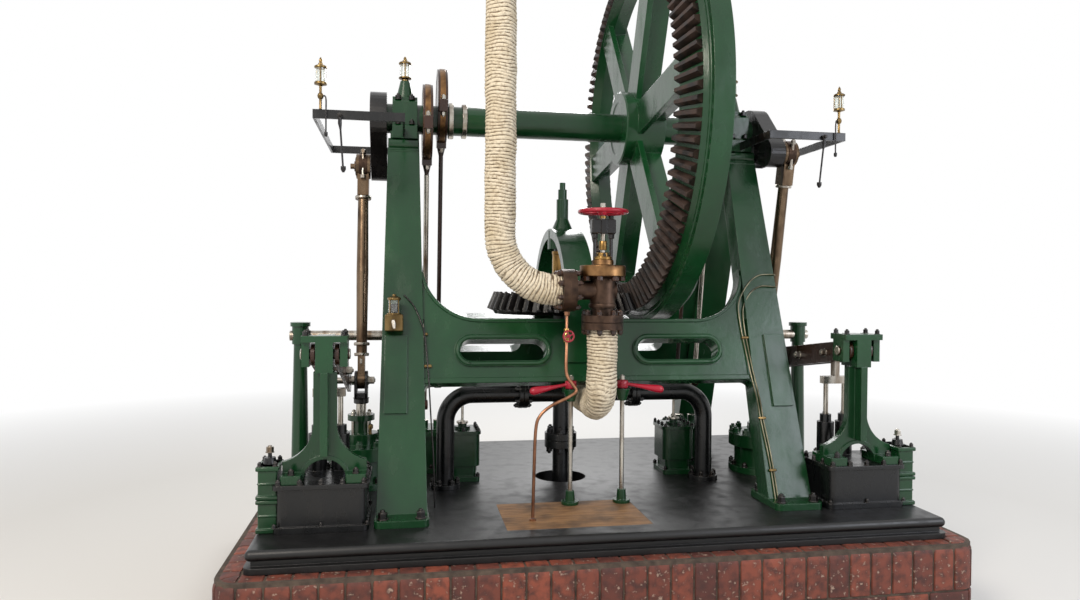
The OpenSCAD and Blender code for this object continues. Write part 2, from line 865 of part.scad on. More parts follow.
module bridge_body() {
    boss_d = 170;
    boss_low = bridge_crown_z - 120;
    nose_low = bridge_crown_z - 10;
    difference() {
        union() {
            translate([-pump_x, 0, 0])
                rotate([90, 0, 90])
                    translate([0, 0, -bridge_w / 2]) linear_extrude(bridge_w) bridge_outline();
            translate([-pump_x, 0, boss_low]) cylinder(d = boss_d, h = nose_low - boss_low);
            translate([-pump_x, 0, nose_low - weld])
                turned_steps([[70, 130, 70], [116, 70, 70], [58, 52, 52], [41, 34, 34]]);
        }
        translate([-pump_x, 0, boss_low - over])
            cylinder(d = pump_shaft_d + 2 * run_gap, h = pump_top_z + pass_gap - boss_low + over);
    }
}

/* steam pipes and stop valve */

flange_t = 34;
side_flange_d = 210;
bonnet_z = 1180;
lower_flange_z = 915;
side_flange_x = -228;
// Seam between the two flanges of a bolted pair
flange_seam = 3;

module stop_valve() {
    body_d = 128;
    color([0.35, 0.27, 0.2])
    translate([-valve_x, -valve_y, bed_top]) {
        for (z = [0, flange_t + flange_seam])
            translate([0, 0, lower_flange_z + z]) cylinder(d = side_flange_d, h = flange_t);
        translate([0, 0, lower_flange_z]) cylinder(d = body_d - 20, h = bonnet_z - lower_flange_z);
        translate([0, 0, valve_z - 90]) cylinder(d = body_d, h = bonnet_z - valve_z + 90);
        translate([0, 0, valve_z]) x_pin(body_d - 34, body_d);
        translate([side_flange_x + valve_x, 0, valve_z])
            rotate([0, 90, 0]) {
                cylinder(d = body_d - 34, h = -side_flange_x - valve_x);
                cylinder(d = side_flange_d, h = flange_t);
                translate([0, 0, flange_t + seat_gap]) cylinder(d = side_flange_d, h = flange_t);
                translate([0, 0, flange_t - weld]) cylinder(d = side_flange_d - 60, h = 10);
            }
    }
}

spindle_top_z = 1540;
handwheel_z = 1495;

module valve_bonnet() {
    color("peru")
    translate([-valve_x, -valve_y, bed_top])
    difference() {
        union() {
            translate([0, 0, bonnet_z]) cylinder(d = 230, h = 55);
            translate([0, 0, bonnet_z + 54]) cylinder(d = 110, h = 40);
            for (s = [-1, 1]) bar([s * 42, 0, bonnet_z + 50], [s * 42, 0, yoke_z + 10], 18);
            translate([-58, -20, yoke_z]) cube([116, 40, 26]);
            translate([0, 0, bonnet_z + 93]) cylinder(d = 60, h = 26);
        }
        translate([0, 0, bonnet_z + 20]) cylinder(d = valve_spindle_d + 2 * run_gap, h = 400);
    }
}

yoke_z = 1400;
valve_spindle_d = 24;

module valve_handwheel() {
    rim_d = 22;
    color("crimson")
    translate([-valve_x, -valve_y, bed_top]) {
        translate([0, 0, bonnet_z + 60]) cylinder(d = valve_spindle_d, h = spindle_top_z - bonnet_z - 60);
        translate([0, 0, handwheel_z - 22]) cylinder(d = 48, h = 44);
        translate([0, 0, handwheel_z]) {
            rotate_extrude($fn = 64) translate([(handwheel_d - rim_d) / 2, 0]) circle(d = rim_d, $fn = 24);
            for (i = [0 : 2]) rotate(60 * i) x_pin(16, handwheel_d - rim_d);
        }
    }
}

// Lagged pipe from the flange at the top, down and round into the stop valve's side
module steam_inlet() {
    inlet_end = side_flange_x - seat_gap;
    color("wheat")
    translate([0, -valve_y, bed_top]) {
        translate([-riser_x, 0, valve_z + riser_bend_r])
            cylinder(d = lagging_d, h = riser_top_z - flange_t - valve_z - riser_bend_r);
        translate([-riser_x + riser_bend_r, 0, valve_z + riser_bend_r])
            rotate([90, 0, 0])
                rotate(180)
                    rotate_extrude(angle = 90, $fn = 96)
                        translate([riser_bend_r, 0]) circle(d = lagging_d);
        translate([-riser_x + riser_bend_r, 0, valve_z])
            rotate([0, 90, 0])
                cylinder(d = lagging_d, h = inlet_end + riser_x - riser_bend_r);
        difference() {
            translate([-riser_x, 0, riser_top_z - flange_t - weld]) cylinder(d = 230, h = flange_t + weld);
            translate([-riser_x, 0, riser_top_z - flange_t - over])
                bolt_circle(190, 8, 18, flange_t + 2 * over);
        }
    }
}

branch_low_z = 520;
branch_bend_r = 130;

// Lagged pipe from the stop valve down and back under the crossbeam
module steam_branch() {
    back_y = valve_y - branch_bend_r;
    color("wheat")
    translate([-valve_x, 0, bed_top]) {
        translate([0, -valve_y, branch_low_z + branch_bend_r])
            cylinder(d = lagging_d, h = lower_flange_z - seat_gap - branch_low_z - branch_bend_r);
        translate([0, -valve_y + branch_bend_r, branch_low_z + branch_bend_r])
            rotate([0, 90, 0])
                rotate(-90)
                    rotate_extrude(angle = 90, $fn = 96)
                        translate([branch_bend_r, 0]) circle(d = lagging_d);
        translate([0, -back_y, branch_low_z])
            rotate([-90, 0, 0])
                cylinder(d = lagging_d, h = back_y - cross_y_front);
    }
}

cross_y = 170;
cross_y_front = cross_y + cross_pipe_d / 2 + 10;
cross_leg_x = 760;
cross_bend_r = 150;

// Pipe that crosses the engine and feeds both inner chests
module cross_pipe() {
    run = cross_leg_x - cross_bend_r;
    color([0.12, 0.12, 0.12])
    translate([0, -cross_y, bed_top]) {
        translate([0, 0, branch_low_z]) x_pin(cross_pipe_d, 2 * run);
        both_sides() {
            translate([run, 0, branch_low_z - cross_bend_r])
                rotate([90, 0, 0])
                    rotate_extrude(angle = 90, $fn = 96)
                        translate([cross_bend_r, 0]) circle(d = cross_pipe_d);
            translate([cross_leg_x, 0, 0])
                cylinder(d = cross_pipe_d, h = branch_low_z - cross_bend_r);
            translate([cross_leg_x, 0, 0]) cylinder(d = 170, h = 26);
        }
        translate([-valve_x, 0, branch_low_z])
            rotate([90, 0, 0]) cylinder(d = cross_pipe_d, h = cross_y_front - cross_y - seat_gap);
    }
}

drain_d = 16;
drain_elbow_d = 26;

// Copper drain from the stop valve's side flange to the floor boards, with an elbow at each bend
module drain_pipe() {
    x0 = side_flange_x + flange_t;
    front = -valve_y - 110;
    route = [
        [x0, -valve_y, valve_z - side_flange_d / 2 - seat_gap], [x0, -valve_y, 965],
        [x0 - 16, front + 40, 691], [x0 + 34, front + 20, 624], [x0 - 113, front, 546],
        [x0 - 171, front, 461], [x0 - 183, front, drain_elbow_d / 2 + seat_gap]
    ];
    color("chocolate")
    translate([0, 0, bed_top]) {
        for (i = [1 : len(route) - 1]) bar(route[i - 1], route[i], drain_d);
        for (i = [1 : len(route) - 1]) translate(route[i]) sphere(d = drain_elbow_d);
    }
}

cock_x = 138;
cock_y = 600;
cock_z = 620;
cock_spindle_d = 24;
cock_foot_z = 40;

// Bell-shaped bearings of the cock spindles on brackets under the crossbeam, with sockets on the floor
module cock_stands() {
    bell_low = beam_low_z - 80;
    bell_top = beam_low_z - 17;
    bracket_t = 24;
    bracket_w = 60;
    // The lug stands under the outer half of the crossbeam's sloping underside
    back_y = 82;
    lug_l = 27;
    color("darkgreen")
    translate([0, -cock_y, bed_top])
    both_sides()
    translate([cock_x, 0, 0])
    difference() {
        union() {
            turned_steps([[16, 90, 90], [54, 52, 44]]);
            translate([0, 0, bell_low]) cylinder(d1 = 44, d2 = 84, h = bell_top - bell_low);
            translate([-bracket_w / 2, 0, bell_top - bracket_t - 2]) cube([bracket_w, back_y, bracket_t]);
            translate([-bracket_w / 2, back_y - lug_l, bell_top - 3])
                cube([bracket_w, lug_l, beam_low_z - seat_gap - bell_top + 3]);
        }
        translate([0, 0, cock_foot_z - 10]) cylinder(d = cock_spindle_d + 2 * run_gap, h = beam_low_z);
    }
}

module cock_lever() {
    hub_h = 40;
    arm_end = [200, -20, cock_z];
    color("crimson")
    translate([cock_x, -cock_y, bed_top]) {
        translate([0, 0, cock_foot_z]) cylinder(d = cock_spindle_d, h = cock_z - cock_foot_z);
        translate([0, 0, cock_z - hub_h / 2]) cylinder(d = 60, h = hub_h);
        bar([0, 0, cock_z], arm_end, 30);
        translate(arm_end) sphere(20);
    }
}

module right_cock_lever() {
    cock_lever();
}

module left_cock_lever() {
    mirror([1, 0, 0]) cock_lever();
}

/* crankshaft, cranks and eccentrics */

module crankshaft() {
    color("darkgreen")
    translate([0, 0, bed_top + shaft_z]) {
        x_pin(shaft_d, 2 * crank_out_x);
        for (s = [-1, 1]) {
            translate([s * (ecc_in_x - strap_t / 2 - 24), 0, 0]) x_pin(200, 30);
            translate([s * (ecc_in_x - strap_t / 2 - 101), 0, 0]) x_pin(190, 16);
        }
    }
}

module crank_outline() {
    difference() {
        hull() {
            circle(crank_boss_r, $fn = 32);
            translate([throw, 0]) circle(crank_pin_boss_r, $fn = 32);
        }
        circle(d = shaft_d + 2 * seat_gap, $fn = 48);
    }
}

// One crank with its pin end pointing to the front
module crank(angle, s) {
    translate([s * (crank_in_x + crank_out_x) / 2, 0, bed_top + shaft_z])
        rotate([angle, 0, 0])
            rotate([90, 0, -90])
                translate([0, 0, -crank_t / 2]) linear_extrude(crank_t) crank_outline();
}

module cranks() {
    color([0.08, 0.08, 0.08]) {
        crank(left_crank_angle, -1);
        crank(right_crank_angle, 1);
    }
}

module sheave(x, angle) {
    translate([x, -ecc_throw * cos(angle), bed_top + shaft_z - ecc_throw * sin(angle)])
        difference() {
            x_pin(2 * sheave_r, strap_t - 4);
            translate([0, ecc_throw * cos(angle), ecc_throw * sin(angle)])
                x_pin(shaft_d + 2 * seat_gap, strap_t + over);
        }
}

// Angles of the eccentrics beside their crank
ecc_out_lead = -100;
ecc_in_lead = 132;
left_out_ecc_angle = left_crank_angle + ecc_out_lead;
left_in_ecc_angle = left_crank_angle + ecc_in_lead;
right_out_ecc_angle = right_crank_angle + ecc_out_lead;
right_in_ecc_angle = right_crank_angle + ecc_in_lead;

module eccentric_sheaves() {
    color([0.3, 0.2, 0.12]) {
        sheave(-ecc_out_x, left_out_ecc_angle);
        sheave(-ecc_in_x, left_in_ecc_angle);
        sheave(ecc_out_x, right_out_ecc_angle);
        sheave(ecc_in_x, right_in_ecc_angle);
    }
}

// Strap and rod of one eccentric
module eccentric_rod(x, angle) {
    cy = -ecc_throw * cos(angle);
    cz = shaft_z - ecc_throw * sin(angle);
    reach_y = ecc_foot_y;
    reach_z = ecc_foot_z - shaft_z;
    l = sqrt(pow(reach_y, 2) + pow(reach_z, 2));
    joint_w = 120;
    eye_d = 60;
    eye_w = 40;
    color([0.28, 0.16, 0.1])
    translate([x, cy, bed_top + cz])
        rotate([atan2(reach_z, reach_y) + 90, 0, 0])
            difference() {
                union() {
                    x_pin(2 * strap_r, strap_t);
                    translate([-strap_t / 2, -joint_w / 2, -strap_r - 24]) cube([strap_t, joint_w, 60]);
                    translate([0, 0, -strap_r - 70]) cylinder(d1 = ecc_rod_d, d2 = 50, h = 50);
                    bar([0, 0, -strap_r - 20], [0, 0, -l], ecc_rod_d);
                    translate([0, 0, -l]) x_pin(eye_d, eye_w);
                }
                x_pin(2 * (sheave_r + strap_gap), strap_t + over);
                translate([0, 0, -l]) x_pin(eye_d / 2, eye_w + over);
            }
}

module left_outer_eccentric_rod() {
    eccentric_rod(-ecc_out_x, left_out_ecc_angle);
}

module left_inner_eccentric_rod() {
    eccentric_rod(-ecc_in_x, left_in_ecc_angle);
}

module right_outer_eccentric_rod() {
    eccentric_rod(ecc_out_x, right_out_ecc_angle);
}

module right_inner_eccentric_rod() {
    eccentric_rod(ecc_in_x, right_in_ecc_angle);
}

/* bevel wheel and pinion */

// A ring turned about X from an outline given as [distance along X, radius]
module turned_about_x(points) {
    translate([0, 0, bed_top + shaft_z])
        rotate([0, 90, 0])
            rotate_extrude($fn = 180) polygon([for (p = points) [p[1], p[0]]]);
}

// Point on the wheel's pitch cone at a distance from the apex, moved out of the cone by h
function cone_point(l, h) = [
    -pump_x + l * cos(wheel_cone) - h * sin(wheel_cone),
    l * sin(wheel_cone) + h * cos(wheel_cone)
];

ring_t = 60;
rim_l = 104;
rim_left_x = rim_right_x - rim_l;
// Plane of the mortice ring's back, and the inner radius of the rim beside it
ring_back_x = rim_right_x - 40;
rim_in_r = wheel_rim_r - 60;

module bevel_wheel() {
    root_in = cone_point(cone_l - cog_l, -dedendum);
    root_out = cone_point(cone_l, -dedendum);
    back_in = cone_point(cone_l - cog_l, -dedendum - ring_t);
    color("green")
    difference() {
        union() {
            turned_about_x([
                root_in, root_out, [rim_left_x, root_out[1] + 20], [rim_left_x, wheel_rim_r],
                [rim_right_x, wheel_rim_r], [rim_right_x, rim_in_r],
                [ring_back_x, rim_in_r], [ring_back_x, root_in[1]], back_in
            ]);
            translate([0, 0, bed_top + shaft_z]) {
                translate([(hub_left_x + hub_right_x) / 2, 0, 0])
                    x_pin(2 * hub_r, hub_right_x - hub_left_x);
                for (i = [0 : wheel_arms - 1])
                    rotate([first_arm_angle + i * 360 / wheel_arms, 0, 0]) wheel_arm();
            }
        }
        translate([0, 0, bed_top + shaft_z]) x_pin(shaft_d + 2 * seat_gap, big / 2);
    }
}

hub_left_x = rim_right_x - 236;
hub_right_x = rim_right_x - 8;
arm_t = 34;
// The arms' broad faces meet the inner end of the mortice ring
arm_left_x = cone_point(cone_l - cog_l, -dedendum)[0] + 12;
arm_tip_r = cone_point(cone_l - cog_l, -dedendum)[1] + 6;

// One T-section arm pointing to the front: a broad face and a rib behind it
module wheel_arm() {
    rib_right_x = rim_right_x - 18;
    rib_seat_x = ring_back_x - 10;
    rib_tip_r = rim_in_r + 10;
    tip_w = arm_w - 14;
    translate([arm_left_x, 0, 0])
        rotate([90, 0, 90])
            linear_extrude(arm_t)
                polygon([[0, -arm_w / 2], [-arm_tip_r, -tip_w / 2], [-arm_tip_r, tip_w / 2], [0, arm_w / 2]]);
    translate([0, 0, -arm_t / 2]) linear_extrude(arm_t)
        polygon([
            [arm_left_x + weld, 0], [arm_left_x + weld, -arm_tip_r], [rib_seat_x, -arm_tip_r],
            [rib_seat_x, -rib_tip_r], [rib_right_x, -rib_tip_r], [rib_right_x, 0]
        ]);
}

// Half thickness of a tooth at a height h over the pitch line, with curved involute flanks
function involute(a) = tan(a) * 180 / PI - a;
function half_tooth(pitch_r, share, h) =
    let (
        r = pitch_r + h,
        base_r = pitch_r * cos(pressure_angle),
        a = r > base_r ? acos(base_r / r) : 0,
        turn = share * module_mm * PI / (2 * pitch_r) * 180 / PI + involute(pressure_angle) - involute(a)
    )
    r * sin(turn);

wheel_equiv_r = wheel_pitch_r / cos(wheel_cone);
pinion_equiv_r = pinion_pitch_r / cos(pinion_cone);

// Corners of a tooth across its width at the outer end, as [side, height]
function tooth_section(pitch_r, share) =
    let (heights = [-dedendum + seat_gap, -0.5 * dedendum, 0, 0.5 * addendum, addendum])
    concat(
        [for (h = heights) [-half_tooth(pitch_r, share, h), h]],
        [for (i = [len(heights) - 1 : -1 : 0]) [half_tooth(pitch_r, share, heights[i]), heights[i]]]
    );

// A tooth along a cone: its section shrinks towards the apex
module bevel_tooth(cone, l_out, l_in, pitch_r, share, root_drop) {
    section = tooth_section(pitch_r, share);
    n = len(section);
    ring = function (l) [
        for (p = section)
            let (k = l / l_out, h = p[1] < -0.9 * dedendum ? -root_drop : p[1] * k)
            [p[0] * k, l * sin(cone) + h * cos(cone), l * cos(cone) - h * sin(cone)]
    ];
    polyhedron(
        points = concat(ring(l_out), ring(l_in)),
        faces = concat(
            [[for (i = [0 : n - 1]) i]],
            [[for (i = [n - 1 : -1 : 0]) n + i]],
            [for (i = [0 : n - 1]) [i, n + i, n + (i + 1) % n, (i + 1) % n]]
        )
    );
}

module wheel_cogs() {
    color("sienna")
    translate([-pump_x, 0, bed_top + shaft_z])
        for (i = [0 : wheel_teeth - 1])
            rotate([i * 360 / wheel_teeth, 0, 0])
                rotate([90, 0, 90])
                    mirror([0, 1, 0])
                        bevel_tooth(wheel_cone, cone_l, cone_l - cog_l, wheel_equiv_r, cog_share,
                            dedendum - seat_gap);
}

// Turns the pinion so that one of its gaps takes the lowest cog
pinion_turn = 180 / pinion_teeth;

module bevel_pinion() {
    hub_d = 220;
    back_t = 18;
    root = function (l, drop) [
        l * sin(pinion_cone) - drop * cos(pinion_cone),
        -l * cos(pinion_cone) - drop * sin(pinion_cone)
    ];
    low = root(cone_l, dedendum);
    high = root(cone_l - pinion_face_l, dedendum);
    color([0.06, 0.06, 0.07])
    translate([-pump_x, 0, bed_top + shaft_z])
    difference() {
        union() {
            rotate_extrude($fn = 120)
                polygon([
                    [0, low[1] - back_t], [low[0] - 12, low[1] - back_t], low,
                    high, [high[0] - 34, high[1]], [high[0] - 50, high[1] - 50],
                    [hub_d / 2, high[1] - 50], [hub_d / 2, high[1] + 26], [0, high[1] + 26]
                ]);
            for (i = [0 : pinion_teeth - 1])
                rotate(-90 + pinion_turn + i * 360 / pinion_teeth)
                    mirror([0, 0, 1])
                        bevel_tooth(pinion_cone, cone_l, cone_l - pinion_face_l, pinion_equiv_r,
                            pinion_tooth_share, dedendum + 4);
        }
        translate([0, 0, -big / 2]) cylinder(d = pump_shaft_d + 2 * seat_gap, h = big);
    }
}

// Height of the coupling flanges above the bedplate
coupling_z = 180;

module pump_shaft() {
    foot = 20;
    coupling_d = 190;
    coupling_t = 40;
    color([0.1, 0.1, 0.1])
    translate([-pump_x, 0, 0]) {
        translate([0, 0, foot]) cylinder(d = pump_shaft_d, h = bed_top + pump_top_z - foot);
        for (z = [0, coupling_t + flange_seam])
            translate([0, 0, bed_top + coupling_z + z]) cylinder(d = coupling_d, h = coupling_t);
    }
}

/* crossheads, connecting rods and beams */

jaw_gap = 1;
jaw_t = 16;
trunnion_d = 36;

// Crosshead with its piston rod, at the height z of its pin; its trunnion runs in the beam's slots
module crosshead(s, z) {
    jaw_x = small_end_w / 2 + jaw_gap;
    jaw_w = 110;
    jaw_h = 100;
    bridge_h = 34;
    neck_d = 84;
    pin_end = pedestal_x - plate_pitch / 2 - beam_plate_t / 2 - pass_gap;
    trunnion_end = pedestal_x + (plate_pitch + beam_plate_t) / 2 + 12;
    color([0.12, 0.12, 0.12])
    translate([0, 0, bed_top + z])
    scale([s, 1, 1])
    translate([rod_x, 0, 0]) {
        for (t = [-1, 1]) {
            translate([t * (jaw_x + jaw_t / 2), 0, 0]) x_pin(jaw_w, jaw_t);
            translate([t * (jaw_x + jaw_t / 2) - jaw_t / 2, -jaw_w / 2, -jaw_h]) cube([jaw_t, jaw_w, jaw_h]);
        }
        translate([-jaw_x - jaw_t, -jaw_w / 2, -jaw_h]) cube([2 * (jaw_x + jaw_t), jaw_w, bridge_h]);
        x_pin(crosshead_pin_d, 2 * (jaw_x + jaw_t) + 2 * weld);
        rotate([0, 90, 0]) {
            cylinder(d = crosshead_pin_d, h = pin_end - rod_x);
            cylinder(d = trunnion_d, h = trunnion_end - rod_x);
        }
        translate([0, 0, -crosshead_drop]) cylinder(d = neck_d, h = crosshead_drop - jaw_h + weld);
        translate([0, 0, -piston_rod_l]) cylinder(d = piston_rod_d, h = piston_rod_l - jaw_h + 10);
    }
}

// The piston rod stays in the gland at the top of the stroke
piston_rod_l = crosshead_high - gland_z + 120;

module left_crosshead() {
    crosshead(-1, crosshead_z(left_crank_angle));
}

module right_crosshead() {
    crosshead(1, crosshead_z(right_crank_angle));
}

// Connecting rod with its small end at the origin: strapped small end, collared shank, round big end
module connecting_rod_body() {
    big_r = 72;
    small_d = 96;
    strap_w = 70;
    strap_l = 140;
    ring_t = 16;
    neck_l = 180;
    neck_w = 96;
    neck_inset = 8;
    low_z = strap_l + 2 * ring_t + 44;
    high_z = rod_l - neck_l - ring_t;
    mid_d = shank_d + 8;
    difference() {
        union() {
            x_pin(small_d, small_end_w);
            translate([-small_end_w / 2, -strap_w / 2, 0]) cube([small_end_w, strap_w, strap_l]);
            translate([0, 0, strap_l - weld])
                turned_steps([
                    [ring_t + weld, 80, 80], [44, shank_d, shank_d], [ring_t, 86, 86],
                    [rod_l / 2 - low_z, shank_d, mid_d], [high_z - rod_l / 2, mid_d, shank_d],
                    [ring_t + weld, 90, 90]
                ]);
            translate([-big_end_w / 2 + neck_inset, -neck_w / 2, rod_l - neck_l])
                cube([big_end_w - 2 * neck_inset, neck_w, neck_l]);
            translate([0, 0, rod_l]) {
                x_pin(2 * big_r, big_end_w);
                translate([big_end_w / 2, 0, 0]) x_pin(60, 24);
                translate([big_end_w / 2, 0, 0]) x_pin(32, 70);
            }
        }
        x_pin(crosshead_pin_d + 2 * run_gap, small_end_w + over);
    }
}

module connecting_rod(s, angle) {
    color([0.55, 0.52, 0.45])
    scale([s, 1, 1])
    translate([rod_x, 0, bed_top + crosshead_z(angle)])
        rotate([rod_tilt(angle), 0, 0]) connecting_rod_body();
}

module left_connecting_rod() {
    connecting_rod(-1, left_crank_angle);
}

module right_connecting_rod() {
    connecting_rod(1, right_crank_angle);
}

// Tilt of a beam when its crosshead is at height z
function beam_tilt(z) = atan((z - pivot_z) / beam_l);

// One side plate of a beam with its pivot at the origin; the trunnion runs in the slot of its rear end
module beam_plate_outline() {
    end_r = 60;
    end_y = beam_l + 60;
    slot_gap = 9;
    slot_r = trunnion_d / 2 + slot_gap;
    difference() {
        hull() {
            circle(beam_depth / 2, $fn = 32);
            translate([end_y, 0]) circle(end_r, $fn = 32);
        }
        hull() {
            translate([beam_l + 8, 0]) circle(slot_r, $fn = 32);
            translate([end_y, 0]) circle(slot_r, $fn = 32);
        }
    }
}

module beam(s, z) {
    stay_d = 44;
    color([0.3, 0.15, 0.08])
    scale([s, 1, 1])
    translate([pedestal_x, -beam_l, bed_top + pivot_z])
        rotate([beam_tilt(z), 0, 0]) {
            for (t = [-1, 1])
                translate([t * plate_pitch / 2 - beam_plate_t / 2, 0, 0])
                    rotate([90, 0, 90]) linear_extrude(beam_plate_t) beam_plate_outline();
            x_pin(pivot_d, 2 * (pivot_reach + pass_gap));
            translate([0, beam_l / 2 + 80, 0]) x_pin(stay_d, plate_pitch);
        }
}

module left_beam() {
    beam(-1, crosshead_z(left_crank_angle));
}

module right_beam() {
    beam(1, crosshead_z(right_crank_angle));
}

pump_rod_low = 40;

// Two pump rods joined by a cross bar between the beam's plates
module pump_rod(s, z) {
    lift = (z - crosshead_low) * pump_reach / beam_l;
    top = pivot_z + (z - pivot_z) * pump_reach / beam_l;
    yoke_low = top - pump_yoke_drop;
    color("silver")
    scale([s, 1, 1])
    translate([pedestal_x, pump_rod_y, bed_top]) {
        for (t = [-1, 1])
            translate([t * plate_pitch / 2, 0, pump_rod_low + lift])
                cylinder(d = pump_rod_d, h = yoke_low - pump_rod_low - lift + 20);
        translate([-plate_pitch / 2 - 24, -22, yoke_low]) cube([plate_pitch + 48, 44, 40]);
        translate([-14, -22, yoke_low]) cube([28, 44, top - yoke_low + 30]);
    }
}

module left_pump_rod() {
    pump_rod(-1, crosshead_z(left_crank_angle));
}

module right_pump_rod() {
    pump_rod(1, crosshead_z(right_crank_angle));
}

plinth();
bedplate();
floor_boards();
front_frame();
rear_frame();
main_bearings();
crank_guards();
cylinders();
valve_chests();
pedestals();
pump_boxes();
rear_columns();
rocking_shafts();
inner_chests();
pump_bridge();
stop_valve();
valve_bonnet();
steam_inlet();
steam_branch();
cross_pipe();
drain_pipe();
lubricators();
cock_stands();
crankshaft();
cranks();
bevel_wheel();
wheel_cogs();
eccentric_sheaves();
left_outer_eccentric_rod();
left_inner_eccentric_rod();
right_outer_eccentric_rod();
right_inner_eccentric_rod();
pump_shaft();
bevel_pinion();
left_crosshead();
right_crosshead();
left_connecting_rod();
right_connecting_rod();
left_beam();
right_beam();
left_pump_rod();
right_pump_rod();
valve_handwheel();
left_cock_lever();
right_cock_lever();
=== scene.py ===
# Looks of a half-beam pumping engine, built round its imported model. Lengths are in metres. The numbers in
# lathe profiles, nut spots and pipe routes are in millimetres, as on a maker's drawing.
import json
import math
import random

import bpy
from mathutils import Matrix, Vector, noise


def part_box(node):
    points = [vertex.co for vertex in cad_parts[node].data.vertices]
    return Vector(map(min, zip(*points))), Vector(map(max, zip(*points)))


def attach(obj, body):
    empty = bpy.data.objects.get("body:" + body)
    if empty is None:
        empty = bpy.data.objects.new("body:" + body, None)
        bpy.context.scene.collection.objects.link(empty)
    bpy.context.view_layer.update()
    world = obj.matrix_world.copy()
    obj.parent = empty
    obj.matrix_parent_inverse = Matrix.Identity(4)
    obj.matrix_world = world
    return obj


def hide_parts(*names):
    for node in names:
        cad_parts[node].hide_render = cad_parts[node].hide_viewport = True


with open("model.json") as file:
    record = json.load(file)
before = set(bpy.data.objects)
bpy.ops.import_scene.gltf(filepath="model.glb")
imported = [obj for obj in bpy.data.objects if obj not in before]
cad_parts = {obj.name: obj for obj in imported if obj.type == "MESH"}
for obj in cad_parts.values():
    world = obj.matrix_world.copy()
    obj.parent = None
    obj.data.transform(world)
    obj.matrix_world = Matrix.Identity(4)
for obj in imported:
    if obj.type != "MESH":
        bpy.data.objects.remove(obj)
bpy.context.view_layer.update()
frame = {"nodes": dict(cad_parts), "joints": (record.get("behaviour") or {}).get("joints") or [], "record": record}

scene = bpy.context.scene
joints = {j["name"]: j for j in frame["joints"]}
mounts = {m["name"]: m for m in frame["record"]["mounts"]}
SIDES = (-1, 1)
UP = Vector((0, 0, 1))
DOWN = -UP
ACROSS = Vector((1, 0, 0))
BACK = Vector((0, 1, 0))
FRONT = -BACK
MM = 0.001

# Places that the frame gives
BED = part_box("bedplate")[1].z
SHAFT = joints["crankshaft_turn"]["pos_m"][2]
VALVE = Vector(joints["valve_handwheel_turn"]["pos_m"])
STEAM_FLANGE = Vector(mounts["steam_flange"]["pos_m"])

# Camera and picture

CAMERA_AT = Vector((-0.9975, -4.55, BED + 1.12))
CAMERA_YAW = math.radians(9.96)
CAMERA_DIP = math.radians(0.88)
CAMERA_ROLL = math.radians(0.44)
PICTURE_W = 1080
FOCAL_PIXELS = 780
SENSOR_W = 36
FAR_CLIP = 200


def make_camera():
    """Puts the camera where the photograph was taken from, with the same tilt and field of view."""
    forward = Vector((math.sin(CAMERA_YAW) * math.cos(CAMERA_DIP),
                      math.cos(CAMERA_YAW) * math.cos(CAMERA_DIP), -math.sin(CAMERA_DIP)))
    right = Vector((math.cos(CAMERA_YAW), -math.sin(CAMERA_YAW), 0))
    up = right.cross(forward)
    c, s = math.cos(CAMERA_ROLL), math.sin(CAMERA_ROLL)
    right, up = right * c + up * s, up * c - right * s
    data = bpy.data.cameras.new("camera")
    data.sensor_width = SENSOR_W
    data.lens = FOCAL_PIXELS / PICTURE_W * SENSOR_W
    data.clip_end = FAR_CLIP
    camera = bpy.data.objects.new("camera", data)
    turn = Matrix((right, up, -forward)).transposed().to_4x4()
    camera.matrix_world = Matrix.Translation(CAMERA_AT) @ turn
    scene.collection.objects.link(camera)
    scene.camera = camera


make_camera()
scene.view_settings.view_transform = "Standard"

# Shader tools


def srgb(text):
    """Turns an sRGB hex colour into the linear one that shaders take."""
    parts = [int(text[i:i + 2], 16) / 255 for i in (1, 3, 5)]
    return [c / 12.92 if c <= 0.04045 else ((c + 0.055) / 1.055) ** 2.4 for c in parts] + [1.0]


def add(tree, kind, inputs=None, **settings):
    """Adds one shader node, with its settings, and fills or links its inputs."""
    made = tree.nodes.new("ShaderNode" + kind)
    for name, value in settings.items():
        setattr(made, name, value)
    for key, value in (inputs or {}).items():
        if isinstance(value, bpy.types.NodeSocket):
            tree.links.new(value, made.inputs[key])
        else:
            made.inputs[key].default_value = value
    return made


def new_material(name):
    """An empty material with its node tree, its main shader and the piece's own coordinates."""
    made = bpy.data.materials.new(name)
    made.use_nodes = True
    tree = made.node_tree
    shader = tree.nodes["Principled BSDF"]
    own = add(tree, "TexCoord").outputs["Object"]
    return made, tree, shader, own


def patches(tree, own, size, low, high, detail=4, stretch=(1, 1, 1)):
    """A soft pattern from 0 to 1 whose patches are size metres wide, and longer where stretch is below 1."""
    scaled = add(tree, "Mapping", {"Vector": own, "Scale": [k / size for k in stretch]})
    grain = add(tree, "TexNoise", {"Vector": scaled.outputs[0], "Scale": 1.0, "Detail": detail})
    return add(tree, "MapRange", {"Value": grain.outputs[0], "From Min": low, "From Max": high}).outputs[0]


def corner_mask(tree, radius, low, high):
    """Share that rises on the outer corners of a piece, used for wear and, in the enamels, also for a painted
    highlight, and the rounded normal of those corners.
    """
    rounded = add(tree, "Bevel", {"Radius": radius}, samples=4).outputs[0]
    flat = add(tree, "NewGeometry").outputs["True Normal"]
    same = add(tree, "VectorMath", {0: rounded, 1: flat}, operation="DOT_PRODUCT").outputs["Value"]
    worn = add(tree, "MapRange", {"Value": same, "From Min": low, "From Max": high,
                                  "To Min": 1.0, "To Max": 0.0})
    return worn.outputs[0], rounded


